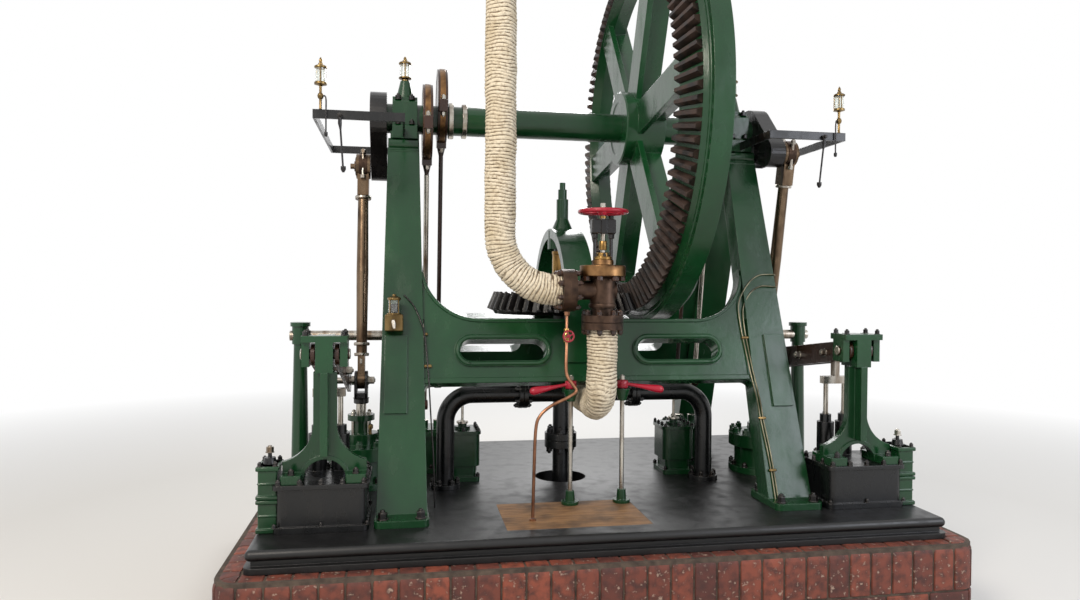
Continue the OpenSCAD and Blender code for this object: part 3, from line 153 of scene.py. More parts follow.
def coated(tree, shader, first, *layers):
    """Colours a surface. Each layer is a share, 0 to 1, and the colour that covers what is below by it."""
    colour = srgb(first)
    for share, over in layers:
        colour = add(tree, "Mix", {0: share, 6: colour, 7: srgb(over)}, data_type="RGBA").outputs[2]
    tree.links.new(colour, shader.inputs["Base Color"])


def raised(tree, shader, normal, *patterns):
    """Raises a surface by patterns, each with its depth, over its rounded corners where they are given."""
    for height, depth in patterns:
        inputs = {"Height": height, "Distance": depth, "Strength": 1.0}
        if normal is not None:
            inputs["Normal"] = normal
        normal = add(tree, "Bump", inputs).outputs[0]
    tree.links.new(normal, shader.inputs["Normal"])


def glossed(tree, shader, share, clean, dulled):
    """Sets the roughness, which runs from clean to dulled as the share goes from 0 to 1."""
    rough = add(tree, "MapRange", {"Value": share, "To Min": clean, "To Max": dulled}).outputs[0]
    tree.links.new(rough, shader.inputs["Roughness"])


# Sizes of the surface patterns. Sand pits, file marks, fibres and grit are some 0.1 to 0.5 mm on the real
# engine, too fine to show, and are drawn as coarse as they need to show.

SAND_PITS = 3 * MM
FINE_PITS = 2 * MM
FILE_MARKS = 1.5 * MM
WOOD_FIBRE = 2 * MM
MORTAR_GRIT = 1.5 * MM
BRICK_GRIT = 2.5 * MM
ROPE_FIBRE = 3 * MM
BRUSH_MARKS = 30 * MM
PLANK_GRAIN = 6 * MM
# Width of the enamels' paler corners, which are partly wear and partly a painted highlight
PALE_CORNER = 5 * MM
FILED_CORNER = 2 * MM

# Finishes of iron


def enamel(name, coat, shade, worn, gloss=0.2, pits=SAND_PITS, wave=0.35 * MM):
    """Oil enamel brushed on sand-cast iron: deep gloss over a pitted skin, thin and dull at the corners. The paler
    colour at the corners is partly that thin paint and partly a painted highlight.
    """
    made, tree, shader, own = new_material(name)
    edge, rounded = corner_mask(tree, PALE_CORNER, 0.72, 0.995)
    faded = patches(tree, own, 0.35, 0.35, 0.7)
    dust = patches(tree, own, 0.09, 0.45, 0.75, detail=6, stretch=(1, 1, 0.35))
    handled = patches(tree, own, 0.05, 0.3, 0.6)
    # Paler corners, in patches: thin, worn paint, and a painted highlight along the edges
    thin_paint_and_highlight = add(tree, "Math", {0: edge, 1: handled}, operation="MULTIPLY").outputs[0]
    coated(tree, shader, coat, (faded, shade), (thin_paint_and_highlight, worn))
    glossed(tree, shader, dust, gloss, gloss + 0.22)
    shader.inputs["IOR"].default_value = 1.5
    pitted = patches(tree, own, pits, 0.3, 0.7, detail=2)
    brushed = patches(tree, own, BRUSH_MARKS, 0.2, 0.8, detail=2)
    raised(tree, shader, rounded, (pitted, 0.12 * MM), (brushed, wave))
    return made


def bare_metal(name, clean, stain, rough, rough_stained, metallic=1.0, stretch=(1, 1, 0.3)):
    """Bare metal rubbed with an oily rag: fine file marks, and brown stain where the rag doesn't reach."""
    made, tree, shader, own = new_material(name)
    edge, rounded = corner_mask(tree, FILED_CORNER, 0.75, 0.995)
    film = patches(tree, own, 0.06, 0.4, 0.68, detail=5, stretch=stretch)
    kept = add(tree, "Math", {0: film, 1: edge}, operation="SUBTRACT", use_clamp=True).outputs[0]
    coated(tree, shader, clean, (kept, stain))
    filed = patches(tree, own, FILE_MARKS, 0.3, 0.7, detail=2, stretch=(1, 1, 0.05))
    glossed(tree, shader, kept, rough, rough_stained)
    shader.inputs["Metallic"].default_value = metallic
    raised(tree, shader, rounded, (filed, 0.03 * MM))
    return made


# Deep green engine enamel, varnished: the most glossy surface, which mirrors the lamps
GREEN = enamel("green_enamel", "#144423", "#0f341b", "#3d6147", gloss=0.14)
# Black enamel on rolled and cast iron: less gloss than the green
BLACK = enamel("black_enamel", "#0e0f11", "#090a0b", "#3d3b39", gloss=0.24)
# Bedplate blackened by oil and feet: flat and satin, with no brush marks left
BED_IRON = enamel("oiled_bed_iron", "#121213", "#0b0b0c", "#3a3836", gloss=0.34, wave=0.08 * MM)
# Forged and wrought iron that has only oil on it: warm black, with finer pits than a casting's
OILY_IRON = enamel("black_oily_iron", "#151314", "#0c0a0a", "#4b443e", gloss=0.2, pits=FINE_PITS)
# Stoved brown japan: a thin dark brown varnish that lets the iron through
BROWN_IRON = enamel("japanned_brown_iron", "#3b2318", "#22140e", "#6b4c38", gloss=0.2)
# Signal red enamel on what a hand turns: bright, and paler at the corners, partly where it is handled and partly
# as a painted highlight
RED = enamel("red_enamel", "#b3142f", "#8e0f25", "#c9606a", gloss=0.18)
# Turned and polished steel: pale, with brown oil film in bands
STEEL = bare_metal("polished_steel", "#c3beb4", "#6b5a48", 0.2, 0.42)
# Polished brass: yellow, brown where the polish misses
BRASS = bare_metal("polished_brass", "#b38f55", "#5f4529", 0.2, 0.45)
# Connecting rods under years of oil: steel seen through a brown film
ROD_STEEL = bare_metal("oiled_rod_steel", "#7a6753", "#3a2c22", 0.24, 0.5)
# Cast bronze left to tarnish in steam: dark brown, hardly metallic
BRONZE = bare_metal("tarnished_bronze", "#503d31", "#261c17", 0.34, 0.56, metallic=0.8, stretch=(1, 1, 1))
# Brass of the oil cups: yellow under a film of oil
OLD_BRASS = bare_metal("oil_darkened_brass", "#8a734b", "#3b2f20", 0.24, 0.5)
# Turned gunmetal that is handled: reddish and satin
BONNET = bare_metal("handled_gunmetal", "#8f6c48", "#4a3527", 0.28, 0.5, stretch=(1, 1, 1))
# Drawn copper tube bent by hand: pink brown, dull
COPPER = bare_metal("bent_copper_tube", "#a8795c", "#5b3b2d", 0.3, 0.55)
# Drawn copper tube with its tinning on: grey olive, dull
TINNED = bare_metal("tinned_copper_tube", "#86826c", "#4c4a3a", 0.36, 0.6)

# Finishes of rope, brick, wood and glass


def rope_finish():
    """Rope wound on hot pipe and whitewashed: chalky, fibrous, and darker in the hollows between the turns."""
    made, tree, shader, own = new_material("whitewashed_rope")
    # Darker where the surface is hollow, in the grooves between the turns
    hollow = add(tree, "NewGeometry").outputs["Pointiness"]
    darker_in_hollows = add(tree, "MapRange", {"Value": hollow, "From Min": 0.47, "From Max": 0.51,
                                   "To Min": 1.0, "To Max": 0.0}).outputs[0]
    soot = patches(tree, own, 0.12, 0.45, 0.8, detail=5)
    frayed = patches(tree, own, 0.012, 0.5, 0.75, detail=6)
    coated(tree, shader, "#e6dac2", (soot, "#c9b897"), (frayed, "#a8957a"), (darker_in_hollows, "#6d5b45"))
    shader.inputs["Roughness"].default_value = 0.9
    strands = patches(tree, own, ROPE_FIBRE, 0.25, 0.75, detail=3)
    raised(tree, shader, None, (strands, 0.6 * MM))
    return made


def brick_finish():
    """Hard-fired brick, oiled and polished over the years: plum reds and browns that differ by brick."""
    made, tree, shader, own = new_material("oiled_engineering_brick")
    each = add(tree, "Attribute", attribute_name="brick_shade").outputs["Fac"]
    fired = patches(tree, own, 0.04, 0.4, 0.7, detail=6)
    lime = patches(tree, own, 0.02, 0.62, 0.72, detail=5)
    coated(tree, shader, "#8a4632", (each, "#552a22"), (fired, "#3d211c"), (lime, "#a08877"))
    shader.inputs["Roughness"].default_value = 0.6
    raised(tree, shader, None, (patches(tree, own, BRICK_GRIT, 0.3, 0.7, detail=4), 0.5 * MM))
    return made


def mortar_finish():
    """Lime mortar, struck and darkened by oil: sandy and flat."""
    made, tree, shader, own = new_material("lime_mortar")
    coated(tree, shader, "#5f5247", (patches(tree, own, 0.05, 0.35, 0.7), "#3b322c"))
    shader.inputs["Roughness"].default_value = 0.95
    raised(tree, shader, None, (patches(tree, own, MORTAR_GRIT, 0.3, 0.7), 0.6 * MM))
    return made


def cog_finish():
    """Hornbeam cogs, dressed by hand and soaked in tallow and graphite: almost black, with a dull sheen."""
    made, tree, shader, own = new_material("greased_hornbeam")
    rounded = add(tree, "Bevel", {"Radius": FILED_CORNER}, samples=4).outputs[0]
    fibre = patches(tree, own, WOOD_FIBRE, 0.3, 0.7, detail=3, stretch=(0.08, 1, 1))
    grease = patches(tree, own, 0.05, 0.4, 0.65, detail=5)
    coated(tree, shader, "#46332a", (fibre, "#2b201b"), (grease, "#15100f"))
    glossed(tree, shader, grease, 0.6, 0.35)
    raised(tree, shader, rounded, (fibre, 0.3 * MM))
    return made


def board_finish():
    """Pitch pine floor boards, worn by boots: long grain, grey-brown, with oil stains."""
    made, tree, shader, own = new_material("worn_pitch_pine")
    rounded = add(tree, "Bevel", {"Radius": FILED_CORNER}, samples=4).outputs[0]
    grain = patches(tree, own, PLANK_GRAIN, 0.3, 0.7, detail=4, stretch=(0.05, 1, 1))
    oiled = patches(tree, own, 0.14, 0.45, 0.75, detail=5)
    coated(tree, shader, "#a37c52", (grain, "#6c4b2e"), (oiled, "#3a2a1d"))
    shader.inputs["Roughness"].default_value = 0.62
    raised(tree, shader, rounded, (grain, 0.5 * MM))
    return made


def glass_finish():
    """Blown glass of an oil cup: clear, with its thickness showing at the rims."""
    made, _, shader, _ = new_material("oil_cup_glass")
    shader.inputs["Base Color"].default_value = srgb("#f4f6f2")
    shader.inputs["Roughness"].default_value = 0.03
    shader.inputs["IOR"].default_value = 1.5
    shader.inputs["Transmission Weight"].default_value = 0.95
    return made


def porcelain_finish():
    """Glazed white porcelain of a tap's handle: a smooth glass coat over a warm white body."""
    made, tree, shader, own = new_material("glazed_porcelain")
    coated(tree, shader, "#efeae0", (patches(tree, own, 0.01, 0.4, 0.7), "#d8cdb9"))
    shader.inputs["Roughness"].default_value = 0.12
    shader.inputs["IOR"].default_value = 1.5
    return made


ROPE = rope_finish()
BRICK = brick_finish()
MORTAR = mortar_finish()
COGS = cog_finish()
BOARDS = board_finish()
GLASS = glass_finish()
PORCELAIN = porcelain_finish()

# Shapes, each given as points and faces


def place(at, axis=UP, spin=0.0):
    """Moves a shape's origin to a point and turns its Z along an axis."""
    turn = UP.rotation_difference(Vector(axis).normalized()).to_matrix().to_4x4()
    return Matrix.Translation(at) @ turn @ Matrix.Rotation(spin, 4, "Z")


def ring_faces(rings, sides):
    """Faces between rings of points that follow each other, each of the same count."""
    faces = []
    for i in range(rings - 1):
        low, high = i * sides, (i + 1) * sides
        faces += [[low + k, low + (k + 1) % sides, high + (k + 1) % sides, high + k] for k in range(sides)]
    return faces


def ends(count, sides):
    """The faces that close the first and the last ring of a shape of count points."""
    return [list(range(sides))[::-1], list(range(count - sides, count))]


def turned(profile, sides=32):
    """A shape turned on a lathe, from [radius, height] points. A radius of 0 closes the end."""
    points, rings = [], []
    for r, z in profile:
        if r == 0:
            rings.append([len(points)])
            points.append((0, 0, z))
            continue
        rings.append(list(range(len(points), len(points) + sides)))
        for i in range(sides):
            a = 2 * math.pi * i / sides
            points.append((r * math.cos(a), r * math.sin(a), z))
    faces = []
    for low, high in zip(rings, rings[1:]):
        for i in range(sides):
            j = (i + 1) % sides
            face = [low[i % len(low)], low[j % len(low)], high[j % len(high)], high[i % len(high)]]
            faces.append(list(dict.fromkeys(face)))
    return points, faces


def frames_along(path):
    """For each point of a path, the point and two directions square to the path that don't twist."""
    across = None
    for i, at in enumerate(path):
        run = (path[min(i + 1, len(path) - 1)] - path[max(i - 1, 0)]).normalized()
        if across is None:
            across = run.orthogonal().normalized()
        across = (across - run * across.dot(run)).normalized()
        yield at, across, run.cross(across)


def tube(path, radius, sides=12):
    """A round bar along a path of points, closed at both ends, with one radius or one for each point."""
    path = [Vector(p) for p in path]
    radii = radius if isinstance(radius, (list, tuple)) else [radius] * len(path)
    points = []
    for (at, across, other), r in zip(frames_along(path), radii):
        for k in range(sides):
            a = 2 * math.pi * k / sides
            points.append(at + (across * math.cos(a) + other * math.sin(a)) * r)
    return points, ring_faces(len(path), sides) + ends(len(points), sides)


def curve(points, steps=8):
    """A smooth line through points."""
    points = [Vector(p) for p in points]
    knots = [points[0] * 2 - points[1]] + points + [points[-1] * 2 - points[-2]]
    line = []
    for a, b, c, d in zip(knots, knots[1:], knots[2:], knots[3:]):
        for i in range(steps):
            t = i / steps
            line.append(0.5 * (2 * b + (c - a) * t + (2 * a - 5 * b + 4 * c - d) * t ** 2
                               + (3 * b - a - 3 * c + d) * t ** 3))
    return line + [points[-1]]


def block(l, w, h, edge):
    """A block standing on Z = 0 with chamfered edges."""
    points = []
    for inset, z in ((edge, 0), (0, edge), (0, h - edge), (edge, h)):
        x, y, e = l / 2 - inset, w / 2 - inset, edge
        points += [(x - e, -y, z), (x, -y + e, z), (x, y - e, z), (x - e, y, z),
                   (-x + e, y, z), (-x, y - e, z), (-x, -y + e, z), (-x + e, -y, z)]
    return points, ring_faces(4, 8) + ends(len(points), 8)


def plate(l, w, h, corner, ease=0.002):
    """A flat plate with round corners, standing on Z = 0, with its upper edge eased."""
    points, steps = [], 6
    for inset, z in ((0, 0), (0, h - ease), (ease, h)):
        for k, (a, b) in enumerate(((1, 1), (-1, 1), (-1, -1), (1, -1))):
            for i in range(steps + 1):
                turn = math.pi / 2 * (k + i / steps)
                points.append((a * (l / 2 - corner) + (corner - inset) * math.cos(turn),
                               b * (w / 2 - corner) + (corner - inset) * math.sin(turn), z))
    sides = 4 * (steps + 1)
    return points, ring_faces(3, sides) + ends(len(points), sides)


class Piece:
    """Points and faces that are joined into one mesh."""

    def __init__(self):
        """Starts with no points and no faces."""
        self.points, self.faces = [], []

    def add(self, shape, where=None):
        """Joins a shape on at a place. A place that mirrors it also turns its faces over."""
        first = len(self.points)
        where = where or Matrix.Identity(4)
        self.points += [where @ Vector(p) for p in shape[0]]
        step = -1 if where.determinant() < 0 else 1
        self.faces += [[first + i for i in face[::step]] for face in shape[1]]
        return self

    def nut(self, at, axis, across, stud=0.3, washer=True, spin=0.0):
        """A hexagon nut with its washer and the end of its stud. across is the width over the flats."""
        r, where = across / math.sqrt(3), place(at, axis, spin)
        low = 0.0
        if washer:
            low = across * 0.1
            self.add(turned([(0, 0), (across * 0.68, 0), (across * 0.68, low), (0, low)], 20), where)
        high = low + across * 0.8
        self.add(turned([(0, low), (r, low), (r, high - across * 0.08), (r * 0.86, high), (0, high)], 6),
                 where)
        if stud:
            end, top = across * 0.3, high + across * stud
            self.add(turned([(0, low), (end, low), (end, top - end * 0.2), (end * 0.75, top), (0, top)], 12),
                     where)
        return self

    def nut_ring(self, at, axis, radius, count, across, first=0.0, stud=0.3):
        """Nuts on a bolt circle round an axis."""
        where = place(at, axis)
        for i in range(count):
            a = first + 2 * math.pi * i / count
            spot = where @ Vector((radius * math.cos(a), radius * math.sin(a), 0))
            self.nut(spot, axis, across, stud, spin=a)
        return self

    def make(self, name, finish, body, sharp=32):
        """Makes the piece's object, which rides on a body. Corners above sharp degrees stay hard."""
        mesh = bpy.data.meshes.new(name)
        mesh.from_pydata([tuple(p) for p in self.points], [], self.faces)
        mesh.shade_smooth()
        mesh.set_sharp_from_angle(angle=math.radians(sharp))
        mesh.materials.append(finish)
        made = bpy.data.objects.new(name, mesh)
        scene.collection.objects.link(made)
        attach(made, body)
        return made


# Brick plinth: three courses of stretchers under a course of bull-nosed soldiers

PLINTH_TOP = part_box("plinth")[1]
PLINTH_CORNER = 0.110
SOLDIER_H = 0.225
SOLDIER_PITCH = 0.110
STRETCHER_ROWS = 3
STRETCHER_PITCH = 0.225
BRICK_DEPTH = 0.105
BRICK_EDGE = 0.004
JOINT = 0.009
JOINT_INSET = 0.007
NOSE = 0.048


def plinth_edge(s, inset):
    """Point on the plinth's outline at a length along it, moved inwards."""
    hx, hy, r = PLINTH_TOP.x - PLINTH_CORNER, PLINTH_TOP.y - PLINTH_CORNER, PLINTH_CORNER
    arc = math.pi * r / 2
    corners = [(-hx, -hy, 0), (hx, -hy, 1), (hx, hy, 2), (-hx, hy, 3)]
    runs = [2 * hx, 2 * hy, 2 * hx, 2 * hy]
    for (cx, cy, k), run in zip(corners, runs):
        out = Vector((math.sin(k * math.pi / 2), -math.cos(k * math.pi / 2), 0))
        ahead = Vector((math.cos(k * math.pi / 2), math.sin(k * math.pi / 2), 0))
        if s <= run:
            return Vector((cx, cy, 0)) + out * (r - inset) + ahead * s
        s -= run
        if s <= arc:
            turn = s / r
            end = Vector((cx, cy, 0)) + ahead * run
            return end + (out * math.cos(turn) + ahead * math.sin(turn)) * (r - inset)
        s -= arc
    return plinth_edge(s, inset)


def plinth_round():
    """Length of the plinth's outline."""
    return 4 * (PLINTH_TOP.x + PLINTH_TOP.y - 2 * PLINTH_CORNER) + 2 * math.pi * PLINTH_CORNER


def brick(s0, s1, z0, z1, nose):
    """One brick of a course: its section, pushed from s0 to s1 along the plinth's outline."""
    e, steps = BRICK_EDGE, 6
    top = [(e, z1), (0, z1 - e)]
    if nose:
        top = [(nose * (1 - math.cos(a)), z1 - nose * (1 - math.sin(a)))
               for a in [math.pi / 2 * (1 - i / 5) for i in range(6)]]
    section = [(BRICK_DEPTH, z0), (BRICK_DEPTH, z1)] + top + [(0, z0 + e), (e, z0)]
    middle = sum(p[0] for p in section) / len(section), (z0 + z1) / 2
    run = s1 - s0 - 2 * e
    stations = [(s0, e)] + [(s0 + e + run * i / steps, 0) for i in range(steps + 1)] + [(s1, e)]
    points, n = [], len(section)
    for s, shrink in stations:
        for d, z in section:
            d2 = d + math.copysign(shrink, middle[0] - d)
            z2 = z + math.copysign(shrink, middle[1] - z)
            points.append(plinth_edge(s, d2) + UP * z2)
    return points, [face[::-1] for face in ring_faces(len(stations), n) + ends(len(points), n)]


def course(piece, z0, z1, pitch, start, nose=0.0):
    """Lays a course of bricks round the plinth, and gives a shade for each of its points."""
    count = round(plinth_round() / pitch)
    pitch = plinth_round() / count
    shades = []
    for i in range(count):
        s0 = start + i * pitch + JOINT / 2
        wander = random.uniform(0, 0.0015)
        before = len(piece.points)
        piece.add(brick(s0, s0 + pitch - JOINT, z0 + wander, z1 - wander, nose))
        shades += [random.random()] * (len(piece.points) - before)
    return shades


def make_plinth():
    """The bricks, each with its own shade, and the mortar between them as one core."""
    random.seed(11)
    bricks = Piece()
    top = PLINTH_TOP.z
    row_h = (top - SOLDIER_H) / STRETCHER_ROWS
    shades = course(bricks, top - SOLDIER_H, top, SOLDIER_PITCH, 0.0, NOSE)
    for i in range(STRETCHER_ROWS):
        start = (i % 2) * STRETCHER_PITCH / 2
        shades += course(bricks, i * row_h, (i + 1) * row_h - JOINT, STRETCHER_PITCH, start)
    made = bricks.make("plinth_bricks", BRICK, "engine")
    shade = made.data.attributes.new("brick_shade", "FLOAT", "POINT")
    shade.data.foreach_set("value", shades)
    n = 240
    ring = [plinth_edge(plinth_round() * i / n, JOINT_INSET) for i in range(n)]
    points = ring + [p + UP * (top - 0.006) for p in ring]
    core = Piece().add((points, ring_faces(2, n) + ends(2 * n, n)))
    made = core.make("plinth_mortar", MORTAR, "engine")
    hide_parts("plinth")


make_plinth()

# Rope lagging on the steam pipes. The rope has the pitch of its turns, and sinks by its depth between them

LAGGING_R = 0.079
ROPE_PITCH = 0.017
ROPE_DEPTH = 0.0066
ROPE_WANDER = 0.8
ROPE_SIDES = 44
RISER_BEND_R = 0.280
BRANCH_BEND_R = 0.130
RISER_Z = BED + 1.110
FLANGE_T = 34
PIPE_END_GAP = 0.001


def rope_radius(skin, turns):
    """Radius of the wound rope at a point of its skin: each turn swells, and all of it is a little lumpy."""
    u = (turns + ROPE_WANDER * noise.noise(skin * 11)) % 1.0
    lump = noise.noise(skin * 9) * 0.0045 + noise.noise(skin * 60) * 0.0034
    return LAGGING_R - 0.002 - ROPE_DEPTH * (1 - math.sqrt(max(0.0, 1 - (2 * u - 1) ** 2))) + lump


def lagged(name, path, node):
    """Rope wound round a pipe, in place of the model's plain one."""
    dense = []
    step = ROPE_PITCH / 6
    for a, b in zip(path, path[1:]):
        count = max(1, round((b - a).length / step))
        dense += [a.lerp(b, i / count) for i in range(count)]
    dense.append(path[-1])
    points, run, before = [], 0.0, dense[0]
    for at, across, other in frames_along(dense):
        run += (at - before).length
        before = at
        for k in range(ROPE_SIDES):
            a = 2 * math.pi * k / ROPE_SIDES
            out = across * math.cos(a) + other * math.sin(a)
            points.append(at + out * rope_radius(at + out * 0.08, run / ROPE_PITCH + k / ROPE_SIDES))
    faces = ring_faces(len(dense), ROPE_SIDES) + ends(len(points), ROPE_SIDES)
    piece = Piece().add((points, faces)).make(name, ROPE, "engine", sharp=80)
    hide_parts(node)


def bend(centre, start, end, radius, steps=14):
    """Points of a quarter bend from one direction to the other, seen from its centre."""
    turns = [math.pi / 2 * i / steps for i in range(steps + 1)]
    return [centre + start * (radius * math.cos(a)) + end * (radius * math.sin(a)) for a in turns]


def mm(profile):
    """A lathe profile given in millimetres."""
    return [(r * MM, z * MM) for r, z in profile]


def make_lagging():
    """The lagged riser with its upper flange, and the lagged branch under the stop valve."""
    at, t = STEAM_FLANGE, FLANGE_T
    centre = Vector((at.x + RISER_BEND_R, at.y, RISER_Z + RISER_BEND_R))
    path = [at - UP * (t * MM + 0.002)] + bend(centre, -ACROSS, DOWN, RISER_BEND_R)
    path.append(Vector((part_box("steam_inlet")[1].x - PIPE_END_GAP, at.y, RISER_Z)))
    lagged("riser_lagging", path, "steam_inlet")
    flange = Piece().add(turned(mm([(0, -t), (112, -t), (115, 3 - t), (115, -3), (112, 0), (62, 0), (62, -20),
                                    (0, -20)]), 48), place(at))
    flange.make("riser_flange", BLACK, "engine")
    low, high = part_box("steam_branch")
    floor = low.z + LAGGING_R
    centre = Vector((VALVE.x, VALVE.y + BRANCH_BEND_R, floor + BRANCH_BEND_R))
    path = [Vector((VALVE.x, VALVE.y, high.z - PIPE_END_GAP))] + bend(centre, FRONT, DOWN, BRANCH_BEND_R)
    path.append(Vector((VALVE.x, high.y - PIPE_END_GAP, floor)))
    lagged("branch_lagging", path, "steam_branch")


make_lagging()

# Places on the engine, in millimetres from the middle of the bedplate's top. The two sides mirror each other

FOOT_Y = 730
LEAN = math.atan(FOOT_Y / 2080)
FACE_OF_BEAM = 42
FACE_OF_LEG = 60
FACE_OF_RIM = 56
BEAM_LOW = 615
BEAM_TOP = 940
ARCH_X = 594.8
ARCH_R = 300
SLOT_Z = 777.5
SLOT_R = 58
SLOT_ENDS = (308, 647)
FRAME_X = 998
BEARING_X = 992
ROD_X = 1229.6
PEDESTAL = (1352, -800)
PIVOT_Z = 805
PUMP_BOX = (1360, -730)
PUMP_VALVE_X = 1599
COLUMN = (1600, 280)
CHEST = (825.5, 300)
INNER_CHEST = (650, 40)
CROSS_PIPE = (760, -170)
CROSS_PIPE_Z = 520
VALVE_AT = (-12, -750)
COCK = (138, -600)
PUMP_SHAFT_X = -68


def bed(x, y, z):
    """A place given in millimetres from the middle of the bedplate's top."""
    return Vector((x * MM, y * MM, BED + z * MM))


def portal(back=False):
    """The plane of a portal's legs: X across, Y up along the legs, Z out of its outer face."""
    made = Matrix.Translation((0, -FOOT_Y * MM, BED)) @ Matrix.Rotation(math.pi / 2 - LEAN, 4, "X")
    return Matrix.Scale(-1, 4, (0, 1, 0)) @ made if back else made


def along(z):
    """Height above the bedplate, measured along a leg."""
    return z / math.cos(LEAN)


def strip(path, width, low, high, edge=2):
    """A raised band along a flat line, with its outer edges eased. All in millimetres."""
    half = width / 2
    section = [(-half, low), (half, low), (half, high - edge), (half - edge, high), (edge - half, high),
               (-half, high - edge)]
    path = [Vector(p) for p in path]
    points, n = [], len(section)
    for i, at in enumerate(path):
        run = (path[min(i + 1, len(path) - 1)] - path[max(i - 1, 0)]).normalized()
        side = Vector((-run.y, run.x))
        points += [((at + side * a).x * MM, (at + side * a).y * MM, z * MM) for a, z in section]
    return points, [face[::-1] for face in ring_faces(len(path), n) + ends(len(points), n)]


def nuts(piece, x, y, z, spots, across, axis=UP, stud=0.3, washer=True):
    """Nuts at spots [dx, dy] round a place on the bedplate's grid."""
    for dx, dy in spots:
        piece.nut(bed(x + dx, y + dy, z), axis, across * MM, stud, washer, spin=dx * 7 + dy * 3)


def grid(dx, dy):
    """Four spots at the corners of a rectangle."""
    return [(a * dx, b * dy) for a in SIDES for b in SIDES]


# Mouldings of the portals


def slot_line(s, grow):
    """The outline of a crossbeam's slot, moved outwards."""
    middle, r = along(SLOT_Z), SLOT_R + grow
    near, far = SLOT_ENDS
    turns = [(x, math.radians(a + 180 * i / 12)) for x, a in ((far, -90), (near, 90)) for i in range(13)]
    return [(s * (x + r * math.cos(turn)), middle + r * math.sin(turn)) for x, turn in turns]


def make_portal_mouldings():
    """Raised lips of the crossbeams' arches and slots, their lower bands, and the heads' rolls."""
    piece = Piece()
    top, low = along(BEAM_TOP), along(BEAM_LOW)
    centre_x, centre_y, r = ARCH_X, top + ARCH_R, ARCH_R + 9
    arc = [math.radians(-90 + 82 * i / 16) for i in range(17)]
    right = [(centre_x + r * math.cos(a), centre_y + r * math.sin(a)) for a in arc]
    lip = [(-x, y) for x, y in right[::-1]] + right
    for back in (False, True):
        where = portal(back)
        piece.add(strip(lip, 18, FACE_OF_BEAM - 1, FACE_OF_BEAM + 9, 3), where)
        piece.add(strip([(-888, low + 14), (888, low + 14)], 28, FACE_OF_BEAM - 1, FACE_OF_BEAM + 8, 3),
                  where)
        for s in SIDES:
            for z, size in ((1898, 26), (1858, 8)):
                bar = [(s * (FRAME_X + k * 83), along(z), FACE_OF_LEG - 4) for k in (-1, -0.96, 0.96, 1)]
                path = [where @ (Vector(p) * MM) for p in bar]
                piece.add(tube(path, [size * 0.6 * MM, size * MM, size * MM, size * 0.6 * MM], 20))
            slot = slot_line(s, 14)
            piece.add(strip(slot + slot[:2], 24, FACE_OF_RIM - 1, FACE_OF_RIM + 7, 7), where)
    piece.make("portal_mouldings", GREEN, "engine")


make_portal_mouldings()

# Fastenings: black nuts on castings, bright ones on machined parts


def make_bed_nuts():
    """Nuts that hold the castings' feet down on the bedplate."""
    piece = Piece()
    for s in SIDES:
        for y in (-FOOT_Y, FOOT_Y):
            nuts(piece, s * FRAME_X, y, 34, grid(88, 128), 38)
        piece.nut_ring(bed(s * ROD_X, 0, 36), UP, 0.198, 12, 0.026)
        nuts(piece, s * CHEST[0], CHEST[1], 28, grid(122, 60) + grid(122, 128) + [(0, -128), (0, 128)], 20)
        nuts(piece, s * COLUMN[0], COLUMN[1], 30, grid(32, 76), 26)
        nuts(piece, s * INNER_CHEST[0], INNER_CHEST[1], 28, grid(83, 98), 20)
        nuts(piece, s * PUMP_BOX[0], PUMP_BOX[1], 30, grid(205, 176) + [(0, -176), (0, 176)], 16)
        piece.nut_ring(bed(s * CROSS_PIPE[0], CROSS_PIPE[1], 26), UP, 0.068, 6, 0.024)
    piece.make("bed_nuts", OILY_IRON, "engine")


def make_cylinder_nuts():
    """Nuts of the cylinder covers and valve chests, and the bright studs of their glands."""
    piece, bright = Piece(), Piece()
    for s in SIDES:
        piece.nut_ring(bed(s * ROD_X, 0, 230), UP, 0.190, 12, 0.036)
        for i in range(4):
            a = math.radians(45 + 90 * i)
            x, y = s * ROD_X + 61 * math.cos(a), 61 * math.sin(a)
            bright.add(tube([bed(x, y, 285), bed(x, y, 372)], 0.007))
            bright.nut(bed(x, y, 393), UP, 0.020, 0.15, True, a)
        spots = [(a, b * 126) for a in (-90, -30, 30, 90) for b in SIDES]
        spots += grid(121, 75) + [(-121, 0), (121, 0)]
        nuts(piece, s * CHEST[0], CHEST[1], 248, spots, 19)
        for x in (783, 868):
            bright.add(turned(mm([(0, 298), (25, 298), (27, 299), (27, 303), (25, 304), (0, 304)])),
                       place(bed(s * x, CHEST[1], 0)))
    piece.make("cylinder_nuts", GREEN, "engine")
    bright.make("gland_studs", STEEL, "engine")


def make_bearing_nuts():
    """Nuts of the main bearings' caps and feet."""
    piece = Piece()
    for s in SIDES:
        for dx in (-38, 38):
            for y in SIDES:
                piece.nut(bed(s * BEARING_X + dx, y * 81.5, 2172), UP, 0.028, 0.35)
                piece.nut(bed(s * BEARING_X + dx, y * 111, 2030), UP, 0.024, 0.3)
    piece.make("bearing_nuts", OILY_IRON, "engine")


def make_pump_valves():
    """Green casings of the pump valves: two flanged chambers, one over the other."""
    piece = Piece()
    for s in SIDES:
        at = s * PUMP_VALVE_X
        piece.add(block(0.083, 0.153, 0.302, 0.004), place(bed(at, PEDESTAL[1], 0)))
        for z, h in ((0, 22), (132, 18), (153, 18), (282, 20)):
            piece.add(block(0.100, 0.172, h * MM, 0.003), place(bed(at, PEDESTAL[1], z)))
        for z in (72, 218):
            piece.add(block(0.088, 0.158, 0.010, 0.003), place(bed(at, PEDESTAL[1], z)))
    piece.make("pump_valve_casings", GREEN, "engine")


